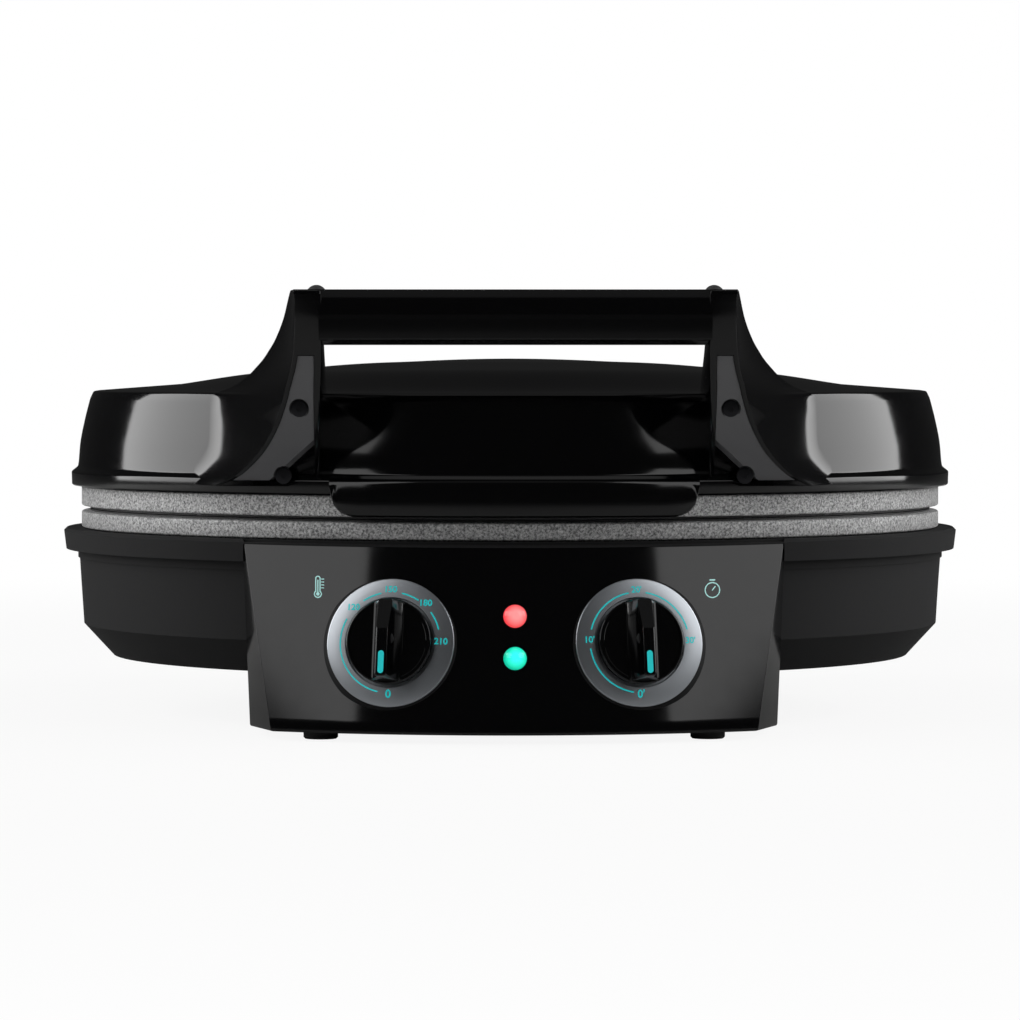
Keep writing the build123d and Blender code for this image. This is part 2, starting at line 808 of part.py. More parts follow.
def knob(side):
    base, top, pointer = knob_frame_pieces()
    rim = disc(knob_radius, base, base + knob_disc)
    rim = chamfer(rim.edges().group_by(Axis.Z)[-1], knob_gap)
    blade = loft([blade_section(blade_base_width, blade_length, base + knob_disc - knob_gap),
                  blade_section(blade_top_width, blade_top_length, top)], ruled=True)
    body = rim + blade
    body -= disc(shaft_radius + running_gap, base - 1, dial_ring_proud + shaft_grip + 1)
    body -= pointer
    return dial_frame(side) * body


def knob_pointer(side):
    return dial_frame(side) * knob_frame_pieces()[2]


def lamp_lens(z):
    height = lamp_dome
    curve = (lamp_radius ** 2 + height ** 2) / (2 * height)
    dome = Pos(0, 0, height - curve) * Sphere(curve)
    dome &= disc(lamp_radius + 1, 0, height + 1)
    lens = dome + disc(lamp_radius, -lamp_back, 0)
    flange_top = -housing_wall - running_gap
    lens += disc(lamp_flange_radius, flange_top - lamp_flange, flange_top)
    return panel_frame(0, z, 0) * lens


def lamp_holder():
    middle_z = (red_lamp_z + green_lamp_z) / 2
    half = (red_lamp_z - green_lamp_z) / 2 / math.cos(panel_lean(0))
    back = -lamp_back - running_gap
    board = block((-lamp_board_width / 2, -half - lamp_board_margin, back - lamp_board_thickness),
                  (lamp_board_width / 2, half + lamp_board_margin, back))
    for place in (-half, half):
        board += disc(lamp_radius - 1, back - 3 * lamp_board_thickness, back - 1, 0, place)
    return panel_frame(0, middle_z, 0) * board


# Lid shell of revolution, drawn in by the wall for its inside
def lid_body(wall):
    def point(out, height):
        return plate_radius + out - wall, lid_seat_z + height
    side_low = point(lid_side_out, lid_flange_height)
    side_middle = point(-lid_side_middle_in, lid_side_middle_height)
    side_top = point(-lid_side_top_in, lid_side_top_height - wall / 2)
    shoulder = point(-lid_shoulder_in, lid_shoulder_height - wall)
    crown = (lid_crown_radius, lid_seat_z + lid_crown_height - wall)
    peak = (0, lid_seat_z + lid_peak_height - wall)
    outline = Polyline((0, lid_seat_z), (lid_inner_radius, lid_seat_z), side_low)
    if wall == 0:
        outline = Polyline((0, lid_seat_z), point(lid_bottom_out, 0), point(lid_flange_out, lid_flange_edge),
                           point(lid_flange_top_out, lid_flange_shoulder), side_low)
    outline += ThreePointArc(side_low, side_middle, side_top)
    outline += Polyline(side_top, shoulder, crown, peak, (0, lid_seat_z))
    return turned(outline)


def horn_row(height):
    for low, high in zip(horn_rows, horn_rows[1:]):
        if low[0] <= height <= high[0]:
            share = (height - low[0]) / (high[0] - low[0])
            return [lerp(a, b, share) for a, b in zip(low, high)]
    return horn_rows[-1] if height > horn_rows[0][0] else horn_rows[0]


def horn_levels(bottom, top):
    return [bottom] + [row[0] for row in horn_rows if bottom < row[0] < top] + [top]


def horn_polygon(height, points):
    return Plane.XY.offset(lid_seat_z + height) * Polygon(*points, align=None)


# The whole left horn, as a stack of four-sided sections
def horn_solid(bottom, top, skin, rear_skin):
    sections = []
    for height in horn_levels(bottom, top):
        _, inner, edge, rear, front, edge_front, rear_front, root = horn_row(height)
        points = [
            (-handle_half_span - inner - rear_skin, -plate_radius - front + skin),
            (-handle_half_span - edge + skin, -plate_radius - edge_front + skin),
            (-handle_half_span - rear + rear_skin, -plate_radius - rear_front + skin / 2),
            (-handle_half_span - inner - rear_skin, -plate_radius - root - skin),
        ]
        sections.append(horn_polygon(height, points))
    return loft(sections, ruled=True)


# A slab behind the left horn's front face, used for the opening and for the insert that closes it
def horn_slab(bottom, top, inner_margin, band, near, far):
    sections = []
    for height in horn_levels(bottom, top):
        _, inner, edge, _, front, edge_front, _, _ = horn_row(height)
        inside = -handle_half_span - inner + inner_margin
        outside = -handle_half_span - edge + band
        points = [
            (inside, -plate_radius - front + near),
            (outside, -plate_radius - edge_front + near),
            (outside, -plate_radius - edge_front + far),
            (inside, -plate_radius - front + far),
        ]
        sections.append(horn_polygon(height, points))
    return loft(sections, ruled=True)


def insert_places():
    places = []
    for out, height in insert_screw_places:
        front = horn_row(height)[4]
        places.append((-handle_half_span - out, -plate_radius - front, lid_seat_z + height))
    return places


def rod(radius, x, z, start, end):
    return Pos(x, (start + end) / 2, z) * Rot(90, 0, 0) * Cylinder(radius, abs(end - start))


def bar_profile(inset):
    middle_y = -plate_radius - handle_reach + handle_depth / 2
    middle_z = handle_top_z - handle_height / 2
    size = (handle_depth - 2 * inset, handle_height - 2 * inset)
    return Pos(middle_y, middle_z) * RectangleRounded(*size, handle_corner - inset)


def handle_joint():
    return handle_half_span - handle_joint_inset


def handle_bar():
    end = handle_joint()
    bar = along_x(bar_profile(0), -end, end)
    core_end = end - 4 * handle_wall
    bar -= along_x(bar_profile(handle_wall), -core_end, core_end)
    middle_y = -plate_radius - handle_reach + handle_depth / 2
    middle_z = handle_top_z - handle_height / 2
    hole = Pos(0, middle_y, middle_z) * Rot(0, 90, 0) * Cylinder(handle_screw_radius + running_gap, 2 * end + 2)
    return bar - hole


def horn_with_stub():
    horn = horn_solid(horn_rows[0][0], handle_top_height, 0, 0)
    return horn + along_x(bar_profile(0), -handle_half_span - lid_wall, -handle_joint())


def handle_screw(side):
    middle_y = -plate_radius - handle_reach + handle_depth / 2
    middle_z = handle_top_z - handle_height / 2
    head_x = handle_half_span + horn_rear_skin
    turn = Pos(0, middle_y, middle_z) * Rot(0, 90, 0)
    head = turn * disc(handle_screw_radius * 1.6, head_x, head_x + screw_head_height)
    shank = turn * disc(handle_screw_radius, head_x - handle_screw_length, head_x)
    screw = head + shank
    return screw if side > 0 else mirrored(screw)


# Front lip: a band of a cylinder under the lid with rounded lower corners
def front_lip():
    inner = plate_radius + lip_gap
    outer = inner + lip_thickness
    bottom = lid_seat_z - lip_drop
    top = lid_seat_z + lip_rise
    band = disc(outer, bottom, top) - disc(inner, bottom - 1, top + 1)
    window = Plane.XZ * (Pos(0, (bottom + top) / 2 + lip_corner / 2) * RectangleRounded(
        2 * lip_half_width, top - bottom + lip_corner, lip_corner))
    return band & extrude(window, rim_radius + lip_thickness)


def lid_cover():
    horn = horn_with_stub()
    shell = union([lid_body(0), horn, mirrored(horn), front_lip()])
    cavity = horn_solid(horn_cavity_bottom, horn_cavity_top, horn_skin, horn_rear_skin)
    opening = horn_slab(insert_bottom, insert_top, 1, insert_band, -3, insert_thickness + insert_recess)
    middle_y = -plate_radius - handle_reach + handle_depth / 2
    middle_z = handle_top_z - handle_height / 2
    hole = Pos(-handle_half_span, middle_y, middle_z) * Rot(0, 90, 0) * Cylinder(
        handle_screw_radius + screw_gap, 4 * handle_joint_inset)
    hollow = cavity + opening + hole
    shell -= lid_body(lid_wall)
    shell = shell - hollow - mirrored(hollow)
    for x, y, z in insert_places():
        back = y + insert_recess + insert_thickness
        boss = rod(insert_boss_radius, x, z, back, back + insert_screw_length)
        boss += block((x, back, z - 1), (-handle_half_span - lid_wall / 2, back + insert_screw_length, z + 1))
        boss -= opening
        hole = rod(insert_screw_radius + running_gap, x, z, y, y + insert_hole_depth + insert_screw_length + 1)
        shell = shell + boss + mirrored(boss) - hole - mirrored(hole)
    return shell + lid_bosses() - lid_holes()


# Bosses that hang inside the lid, kept within its outer surface and clear of the upper plate
def lid_bosses():
    dome_z = lid_seat_z + lid_shoulder_height
    tongue_top = tongue_z() + tongue_height
    bosses = [disc(lid_screw_boss, lid_seat_z, lid_seat_z + lid_screw_boss_height, x, y)
              for x, y in lid_screw_places]
    for side in (-1, 1):
        bosses += [disc(tongue_boss_radius, tongue_top, dome_z, x, y) for x, y in tongue_places(side)]
    plate_room = disc(dish_radius + plate_floor + seat_gap, lid_seat_z - 1, upper_back_z + seat_gap)
    return (union(bosses) & lid_body(lid_wall / 2)) - plate_room


def lid_holes():
    tongue_top = tongue_z() + tongue_height
    hole_top = lid_seat_z + lid_screw_boss_height - 2
    holes = [disc(plate_screw_radius + running_gap, lid_seat_z - 1, hole_top, x, y) for x, y in lid_screw_places]
    half = hinge_arm_width / 2 + fit_gap
    for side in (-1, 1):
        holes += [disc(tongue_screw_radius + running_gap, tongue_top - 1, tongue_top + tongue_screw_grip, x, y)
                  for x, y in tongue_places(side)]
        holes.append(block(
            (side * hinge_offset - half, plate_radius - tongue_length, tongue_z() - fit_gap),
            (side * hinge_offset + half, hinge_y, tongue_top)))
    holes.append(neck_channel(neck_channel_radius + 1))
    return union(holes)


def handle_feet():
    feet = []
    middle_y = -plate_radius - handle_reach + handle_depth / 2
    height = handle_foot_height
    curve = (handle_foot_radius ** 2 + height ** 2) / (2 * height)
    for side in (-1, 1):
        x = side * (handle_half_span + handle_foot_inset)
        dome = Pos(x, middle_y, handle_top_z + height - curve) * Sphere(curve)
        feet.append(dome & disc(handle_foot_radius + 1, handle_top_z, handle_top_z + 2 * height, x, middle_y))
    return group(feet)


def arm_insert():
    insert = horn_slab(insert_bottom + fit_gap, insert_top - fit_gap, 0, insert_band + fit_gap,
                       insert_recess, insert_recess + insert_thickness)
    for x, y, z in insert_places():
        insert -= rod(insert_hole_radius, x, z, y - 1, y + insert_recess + insert_hole_depth)
        insert -= rod(insert_screw_radius + screw_gap, x, z, y - 1, y + 3 * insert_thickness)
    return insert


def insert_screws():
    screws = []
    for x, y, z in insert_places():
        head_back = y + insert_recess + insert_hole_depth
        head = rod(insert_hole_radius - 2 * fit_gap, x, z, head_back - 1, head_back)
        shank = rod(insert_screw_radius, x, z, head_back, head_back + insert_screw_length)
        screws.append(head + shank)
    return group(screws + [mirrored(screw) for screw in screws])


# Hinge: steel arms from the lid swing between the ears of two brackets on the rear housing
def tongue_z():
    return lid_seat_z + tongue_lift


def tongue_places(side):
    start = plate_radius - tongue_length + tongue_boss_radius * 2
    return [(side * hinge_offset, start + place) for place in tongue_screw_places]


def pin_rod(radius, start, end):
    return Pos((start + end) / 2, hinge_y, hinge_z) * Rot(0, 90, 0) * Cylinder(radius, end - start)


def hinge_arm():
    low = tongue_z()
    high = low + tongue_height
    root = lid_flange_radius + 2 * fit_gap
    lug = Pos(hinge_y, hinge_z) * Circle(hinge_lug_radius)
    block_face = Pos(root + 1.5, (low + high) / 2) * Rectangle(3, tongue_height)
    arm = make_hull(lug.edges() + block_face.edges())
    tongue_start = plate_radius - tongue_length + fit_gap
    tongue = Pos((tongue_start + root + 2) / 2, (low + high) / 2) * Rectangle(root + 2 - tongue_start, tongue_height)
    half = hinge_arm_width / 2
    solid = along_x(arm, hinge_offset - half, hinge_offset + half)
    solid -= disc(lid_flange_radius + fit_gap, 0, lid_seat_z + lid_flange_height)
    solid += along_x(tongue, hinge_offset - half, hinge_offset + half)
    solid -= pin_rod(hinge_pin_radius + running_gap, 0, 2 * hinge_offset)
    for x, y in tongue_places(1):
        solid -= disc(tongue_screw_radius + screw_gap, low - 1, high + 1, x, y)
    return solid


def hinge_bracket():
    inner = hinge_arm_width / 2 + hinge_side_gap
    outer = inner + hinge_ear_width
    side = outer + bracket_base_side
    base = block((hinge_offset - side, hinge_y - bracket_half_length, rear_top_z),
                 (hinge_offset + side, hinge_y + bracket_half_length, rear_top_z + bracket_base))
    lug = Pos(hinge_y, hinge_z) * Circle(hinge_lug_radius - 1)
    foot = Pos(hinge_y, rear_top_z + bracket_base / 2) * Rectangle(2 * bracket_half_length, bracket_base)
    ear = make_hull(lug.edges() + foot.edges())
    solid = base
    for low, high in ((-outer, -inner), (inner, outer)):
        solid += along_x(ear, hinge_offset + low, hinge_offset + high)
    solid -= pin_rod(hinge_pin_radius, 0, 2 * hinge_offset)
    for x, y in bracket_screw_places():
        solid -= disc(bracket_screw_radius + screw_gap, rear_top_z - 1, rear_top_z + 2 * bracket_base, x, y)
    return solid


def hinge_pin():
    reach = hinge_arm_width / 2 + hinge_side_gap + hinge_ear_width
    pin = pin_rod(hinge_pin_radius, hinge_offset - reach - 1, hinge_offset + reach)
    return pin + pin_rod(hinge_pin_head_radius, hinge_offset + reach, hinge_offset + reach + hinge_pin_head)


def hinge_bracket_screws():
    screws = []
    head_z = rear_top_z + bracket_base
    for x, y in bracket_screw_places():
        head = disc(bracket_screw_radius * 1.5, head_z, head_z + screw_head_height, x, y)
        screws.append(head + disc(bracket_screw_radius, head_z - 2 * housing_wall - bracket_base, head_z, x, y))
    return group(screws)


def lid_hinge_screws():
    screws = []
    low = tongue_z()
    end = low + tongue_height + tongue_screw_grip - 1
    for side in (-1, 1):
        for x, y in tongue_places(side):
            head = disc(tongue_screw_radius * screw_head_ratio, low - tongue_screw_head, low, x, y)
            screws.append(head + disc(tongue_screw_radius, low, end, x, y))
    return group(screws)


# Wire passage: a hollow barrel on the hinge line, fed by an elbow from the rear housing
def neck_channel_line():
    return Line((0, hinge_y, hinge_z), (0, lid_inner_radius - 6, tongue_z() + tongue_height))


def neck_channel(radius):
    line = neck_channel_line()
    plane = Plane(origin=line @ 0.25, z_dir=line % 0)
    return plane * disc(radius, 0, line.length * 0.95)


def wire_barrel():
    root = lid_flange_radius + fit_gap
    barrel = Pos(hinge_y, hinge_z) * Circle(barrel_radius)
    neck = Pos(root + 1, lid_seat_z + lid_flange_height / 2) * Rectangle(2, lid_flange_height - 1)
    solid = along_x(make_hull(barrel.edges() + neck.edges()), -barrel_neck_half_width, barrel_neck_half_width)
    solid -= disc(lid_flange_radius + fit_gap, 0, handle_top_z)
    solid += pin_rod(barrel_radius, -barrel_half_length, barrel_half_length)
    solid -= pin_rod(barrel_bore_radius, -elbow_bore_radius, barrel_half_length + 1)
    return solid - neck_channel(neck_channel_radius)


def wire_elbow():
    path = FilletPolyline((elbow_x, hinge_y, rear_top_z - housing_wall), (elbow_x, hinge_y, hinge_z),
                          (barrel_half_length - barrel_socket_depth, hinge_y, hinge_z), radius=elbow_bend)
    start = Plane(origin=path @ 0, z_dir=path % 0)
    tube = sweep(start * Circle(elbow_radius), path=path)
    tube += disc(elbow_flange_radius, rear_top_z, rear_top_z + elbow_flange, elbow_x, hinge_y)
    return tube - sweep(start * Circle(elbow_bore_radius), path=path)


def cord_gland():
    gland = rod(gland_radius, 0, gland_z, rear_back_y - gland_inside, rear_back_y)
    gland += rod(gland_flange_radius, 0, gland_z, rear_back_y, rear_back_y + gland_flange)
    bore_start = rear_back_y - gland_inside - 1
    return gland - rod(gland_bore_radius, 0, gland_z, bore_start, rear_back_y + gland_flange + 1)


# Internal parts of the base
def terminal_block():
    half = terminal_size[0] / 2
    front = hinge_y - terminal_setback
    body = block((-half, front, cover_top_z), (half, front + terminal_size[1], cover_top_z + terminal_size[2]))
    for x in (-terminal_pitch, 0, terminal_pitch):
        body -= disc(wire_radius + fit_gap, cover_top_z + terminal_size[2] / 2, cover_top_z + terminal_size[2] + 1,
                     x, front + terminal_size[1] / 2)
    return body


def thermal_fuse():
    pan_z = lower_under_z - post_height - reflector_dish - reflector_sheet
    width, length, height = fuse_size
    fuse = block((-width / 2, fuse_y - length / 2, pan_z - height), (width / 2, fuse_y + length / 2, pan_z))
    return chamfer(fuse.edges().filter_by(Axis.X), 1)


def routed_tube(points, radius):
    vectors = [Vector(*point) for point in points]
    radii = []
    for before, here, after in zip(vectors, vectors[1:], vectors[2:]):
        turn = math.radians((here - before).get_angle(after - here))
        shorter = min((here - before).length, (after - here).length)
        radii.append(0.45 * shorter / math.tan(turn / 2))
    path = FilletPolyline(*points, radius=radii)
    return sweep(Plane(origin=path @ 0, z_dir=path % 0) * Circle(radius), path=path)


# Wires inside the base, from the terminal block and between the controls, the element and the hinge elbow
def base_wiring():
    control = dial_frame(-1) * Pos(0, 0, -housing_wall - control_standoff - thermostat_size[2] - 0.5)
    back = control.position
    leg_x, leg_y = element_leg_places(-1)[0]
    leg_z = lower_under_z - element_radius - element_leg - fit_gap
    terminal_y = hinge_y - terminal_setback + terminal_size[1] / 2
    terminal_z = cover_top_z + terminal_size[2] * 0.75
    front, rear = -plate_radius, plate_radius
    middle = [(-37, front + 32, 32), (-30, front + 60, 36), (-20, front + 108, 35), (-14, 5, 37),
              (-18, rear - 98, 35), (-15, rear - 48, 38)]
    control_end = [(back.X, back.Y, back.Z)]
    supply = control_end + middle + [(-12, rear - 15, 43), (-11, rear + 6, 40), (-terminal_pitch, terminal_y, 30),
                                     (-terminal_pitch, terminal_y, terminal_z)]
    to_element = [(back.X + 6, back.Y + 1, back.Z - 1), (-30, front + 34, 28), (leg_x - 1, leg_y - 4, 28),
                  (leg_x, leg_y, leg_z)]
    to_lid = control_end + middle + [(-20, rear - 15, 43), (-elbow_x + 2, rear + 8, 44), (-elbow_x, hinge_y, 52),
                                     (-elbow_x, hinge_y, hinge_z - elbow_bend - 2)]
    tubes = [routed_tube(supply, wire_radius), routed_tube(to_element, wire_radius)]
    tubes += [mirrored(routed_tube(points, wire_radius)) for points in (to_element, to_lid)]
    return group(tubes)


# Thermostat sensor: a bulb against the plate and the capillary that leads to the thermostat
def thermostat_bulb():
    level = lower_under_z - bulb_radius
    half = bulb_length / 2
    bulb = Pos(0, bulb_y, level) * Rot(0, 90, 0) * Cylinder(bulb_radius, bulb_length)
    control = dial_frame(-1) * Pos(-6, 4, -housing_wall - control_standoff - thermostat_size[2] - 0.2)
    back = control.position
    hole_x, hole_y = capillary_hole
    route = [(-half + 1, bulb_y, level), (hole_x + 4, bulb_y - 1, level - 0.5), (hole_x, hole_y, level - 7),
             (hole_x + 0.5, hole_y - 1, 44), (hole_x + 2, hole_y - 26, 38), (hole_x + 4, 32 - plate_radius, 34),
             (back.X, back.Y, back.Z)]
    return bulb + routed_tube(route, capillary_radius)


def lid_wiring():
    leg_x, leg_y = element_leg_places(1)[0]
    leg_z = upper_back_z + element_radius + element_leg + fit_gap
    channel = neck_channel_line()
    near = channel @ 0.45
    mouth = channel @ 1.1
    x = neck_channel_radius / 2
    route = [(x, near.Y, near.Z), (x, mouth.Y, mouth.Z), (6, plate_radius - 26, leg_z - 5),
             (14, plate_radius - 42, leg_z + 3), (17, plate_radius - 52, leg_z + 8),
             (leg_x, leg_y + 0.5, leg_z + 9), (leg_x, leg_y, leg_z)]
    tube = routed_tube(route, wire_radius)
    return group([tube, mirrored(tube)])


def save_all():
    os.makedirs("parts", exist_ok=True)
    save(base_bowl(), "base_bowl")
    save(control_housing(), "control_housing")
    save(control_base_cover(), "control_base_cover")
    save(cover_screws(front_cover_places), "control_cover_screws")
    save(rubber_feet(front_foot_places), "front_feet")
    save(rear_housing(), "rear_housing")
    save(rear_base_cover(), "rear_base_cover")
    save(cover_screws(rear_cover_places), "rear_cover_screws")
    save(rubber_feet(rear_foot_places), "rear_feet")
    save(lower_plate(), "lower_plate")
    save(lower_plate_screws(), "lower_plate_screws")
    save(heating_element(lower_under_z, -1, -1), "lower_heating_element")
    save(element_clips(lower_under_z, -1, 90), "lower_element_clips")
    save(lower_reflector(), "lower_reflector")
    save(control_body(-1, thermostat_size), "thermostat_body")
    save(control_body(1, timer_size), "timer_body")
    save(thermostat_bulb(), "thermostat_bulb")
    save(control_screws(), "control_screws")
    save(base_wiring(), "base_wiring")
    save(dial_ring(-1), "left_dial_ring")
    save(dial_ring(1), "right_dial_ring")
    save(lamp_lens(red_lamp_z), "red_lamp_lens")
    save(lamp_lens(green_lamp_z), "green_lamp_lens")
    save(lamp_holder(), "lamp_holder")
    save(thermal_fuse(), "thermal_fuse")
    save(terminal_block(), "terminal_block")
    save(cord_gland(), "cord_gland")
    save(hinge_bracket(), "hinge_bracket_right")
    save(mirrored(hinge_bracket()), "hinge_bracket_left")
    save(hinge_bracket_screws(), "hinge_bracket_screws")
    save(hinge_pin(), "hinge_pin_right")
    save(mirrored(hinge_pin()), "hinge_pin_left")
    save(wire_elbow(), "wire_elbow")
    save(knob(-1), "left_knob")
    save(knob_pointer(-1), "left_knob_pointer")
    save(control_shaft(-1), "thermostat_shaft")
    save(knob(1), "right_knob")
    save(knob_pointer(1), "right_knob_pointer")
    save(control_shaft(1), "timer_shaft")
    save(lid_cover(), "lid_cover")
    save(handle_bar(), "handle_bar")
    save(group([handle_screw(-1), handle_screw(1)]), "handle_screws")
    save(handle_feet(), "handle_feet")
    save(arm_insert(), "arm_insert_left")
    save(mirrored(arm_insert()), "arm_insert_right")
    save(insert_screws(), "insert_screws")
    save(upper_plate(), "upper_plate")
    save(upper_plate_screws(), "upper_plate_screws")
    save(heating_element(upper_back_z, 1, 1), "upper_heating_element")
    save(element_clips(upper_back_z, 1, -90), "upper_element_clips")
    save(reflector(upper_back_z + upper_post_height, 1, 1, reflector_screw_radius + fit_gap), "upper_reflector")
    save(upper_reflector_screws(), "upper_reflector_screws")
    save(hinge_arm(), "lid_hinge_arm_right")
    save(mirrored(hinge_arm()), "lid_hinge_arm_left")
    save(lid_hinge_screws(), "lid_hinge_screws")
    save(wire_barrel(), "wire_barrel")
    save(lid_wiring(), "lid_wiring")


save_all()
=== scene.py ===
import bmesh
import bpy
import json
import math
from mathutils import Matrix, Vector


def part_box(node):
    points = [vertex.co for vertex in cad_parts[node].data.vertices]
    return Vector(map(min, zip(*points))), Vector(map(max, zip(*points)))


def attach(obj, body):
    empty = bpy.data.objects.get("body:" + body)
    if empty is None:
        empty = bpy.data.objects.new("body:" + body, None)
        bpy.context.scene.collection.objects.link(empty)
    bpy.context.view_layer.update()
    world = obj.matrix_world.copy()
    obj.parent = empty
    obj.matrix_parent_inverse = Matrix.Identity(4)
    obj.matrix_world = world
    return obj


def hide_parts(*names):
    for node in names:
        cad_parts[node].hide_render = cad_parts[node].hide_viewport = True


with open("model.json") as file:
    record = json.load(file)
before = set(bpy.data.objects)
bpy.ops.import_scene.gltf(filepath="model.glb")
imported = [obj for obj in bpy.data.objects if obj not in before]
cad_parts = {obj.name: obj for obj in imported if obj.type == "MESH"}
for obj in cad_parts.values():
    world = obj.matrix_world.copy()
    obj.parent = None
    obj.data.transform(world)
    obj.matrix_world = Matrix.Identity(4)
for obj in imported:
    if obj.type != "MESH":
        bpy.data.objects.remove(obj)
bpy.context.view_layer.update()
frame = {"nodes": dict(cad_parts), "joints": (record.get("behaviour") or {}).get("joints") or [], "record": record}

scene = bpy.context.scene
nodes = frame["nodes"]

# Studio: a pale table in a dark room, with a softbox to each side, a wider one in front of each and two dim
# ones before and above. The camera stands almost two metres away, just below the handle, and sees only white
# behind the oven. Sizes in this file are in millimetres, colours are sRGB hex, and the frame is in metres.
mm = 0.001
camera_distance = 1920.0
camera_height = 134.7
camera_yaw = math.radians(0.575)
camera_aim_height = 74.4
camera_lens = 180.8
camera_reach = 20000.0
lamp_aim_height = 80.0
floor_middle = 700.0
floor_radius = 6000.0
floor_steps = 96
floor_white = "f6f6f5"
floor_shadow_share = 0.9
floor_fade = (400.0, 1200.0)
floor_mirrored = 0.45
room_glow = 0.02
fill_glow = 0.08
side_glow = 3.3
front_glow = 1.5
brow_glow = 0.13
top_glow = 0.3


def linear(code):
    channels = [int(code[place:place + 2], 16) / 255 for place in (0, 2, 4)]
    return [c / 12.92 if c <= 0.04045 else ((c + 0.055) / 1.055) ** 2.4 for c in channels] + [1.0]


def add_node(tree, kind, links=None, **settings):
    node = tree.nodes.new(kind)
    for name, value in settings.items():
        if name in node.inputs.keys():
            node.inputs[name].default_value = value
        else:
            setattr(node, name, value)
    for socket, source in (links or {}).items():
        tree.links.new(source, node.inputs[socket])
    return node


def new_material(name):
    material = bpy.data.materials.new(name)
    material.use_nodes = True
    material.node_tree.nodes.clear()
    return material, material.node_tree


def turned(profile, steps=256):
    """Points and faces of an outline of (radius, height) turned about the upright axis."""
    points, rows = [], []
    for radius, height in profile:
        if radius < 1e-6:
            rows.append([len(points)] * steps)
            points.append((0.0, 0.0, height))
            continue
        rows.append(list(range(len(points), len(points) + steps)))
        for step in range(steps):
            angle = 2 * math.pi * step / steps
            points.append((radius * math.cos(angle), radius * math.sin(angle), height))
    faces = []
    for low, high in zip(rows, rows[1:]):
        for step in range(steps):
            after = (step + 1) % steps
            face = list(dict.fromkeys([low[step], low[after], high[after], high[step]]))
            if len(face) > 2:
                faces.append(face)
    return points, faces


def link_object(name, points, faces):
    mesh = bpy.data.meshes.new(name)
    mesh.from_pydata([[c * mm for c in point] for point in points], [], faces)
    piece = bpy.data.objects.new(name, mesh)
    scene.collection.objects.link(piece)
    return piece


def pale_table():
    """Matt white table. The camera sees it almost as white as the room, with the oven's shadow still on it, and
    it fades into the white behind. Polished parts mirror it as the dimmer table of a dark room."""
    material, tree = new_material("pale_table")
    ray = add_node(tree, "ShaderNodeLightPath")
    place = add_node(tree, "ShaderNodeTexCoord")
    away = add_node(tree, "ShaderNodeVectorMath", {0: place.outputs["Object"]}, operation="LENGTH")
    fade = add_node(tree, "ShaderNodeMapRange", {"Value": away.outputs["Value"]},
                    interpolation_type="SMOOTHSTEP",
                    **{"From Min": floor_fade[0] * mm, "From Max": floor_fade[1] * mm,
                       "To Min": floor_shadow_share, "To Max": 1.0})
    share = add_node(tree, "ShaderNodeMath", {0: ray.outputs["Is Camera Ray"], 1: fade.outputs["Result"]},
                     operation="MULTIPLY")
    dim = add_node(tree, "ShaderNodeMapRange", {"Value": ray.outputs["Is Glossy Ray"]},
                   **{"To Min": 1.0, "To Max": floor_mirrored})
    tone = add_node(tree, "ShaderNodeVectorMath", {"Scale": dim.outputs["Result"]}, operation="SCALE")
    tone.inputs[0].default_value = linear(floor_white)[:3]
    paint = add_node(tree, "ShaderNodeBsdfDiffuse", {"Color": tone.outputs[0]})
    glow = add_node(tree, "ShaderNodeEmission", Color=linear("ffffff"), Strength=1.0)
    mix = add_node(tree, "ShaderNodeMixShader", {0: share.outputs[0], 1: paint.outputs[0], 2: glow.outputs[0]})
    add_node(tree, "ShaderNodeOutputMaterial", {"Surface": mix.outputs[0]})
    return material


floor = link_object("table_top", *turned([(0, 0), (floor_middle, 0), (floor_radius, 0)], floor_steps))
floor.data.materials.append(pale_table())

world = bpy.data.worlds.new("studio")
scene.world = world
world.use_nodes = True
room = world.node_tree
room.nodes.clear()
ray = add_node(room, "ShaderNodeLightPath")
seen = add_node(room, "ShaderNodeMath",
                {0: ray.outputs["Is Camera Ray"], 1: ray.outputs["Is Transmission Ray"]}, operation="MAXIMUM")
dark_room = add_node(room, "ShaderNodeBackground", Color=linear("ffffff"), Strength=room_glow)
soft_fill = add_node(room, "ShaderNodeBackground", Color=linear("ffffff"), Strength=fill_glow)
white_room = add_node(room, "ShaderNodeBackground", Color=linear("ffffff"), Strength=1.0)
unseen = add_node(room, "ShaderNodeMixShader", {0: ray.outputs["Is Diffuse Ray"], 1: dark_room.outputs[0],
                  2: soft_fill.outputs[0]})
backdrop = add_node(room, "ShaderNodeMixShader", {0: seen.outputs[0], 1: unseen.outputs[0],
                    2: white_room.outputs[0]})
add_node(room, "ShaderNodeOutputWorld", {"Surface": backdrop.outputs[0]})


def softbox(name, azimuth, elevation, distance, width, height, radiance):
    """A rectangular lamp that faces the oven. Azimuth 0 is in front of it and 90 at its right."""
    lamp = bpy.data.lights.new(name, "AREA")
    lamp.shape = "RECTANGLE"
    lamp.size = width * mm
    lamp.size_y = height * mm
    lamp.energy = radiance * math.pi * width * height * mm * mm
    turn, rise = math.radians(azimuth), math.radians(elevation)
    away = Vector((math.sin(turn) * math.cos(rise), -math.cos(turn) * math.cos(rise), math.sin(rise)))
    piece = bpy.data.objects.new(name, lamp)
    scene.collection.objects.link(piece)
    piece.location = Vector((0, 0, lamp_aim_height * mm)) + away * distance * mm
    piece.rotation_euler = away.to_track_quat("Z", "Y").to_euler()


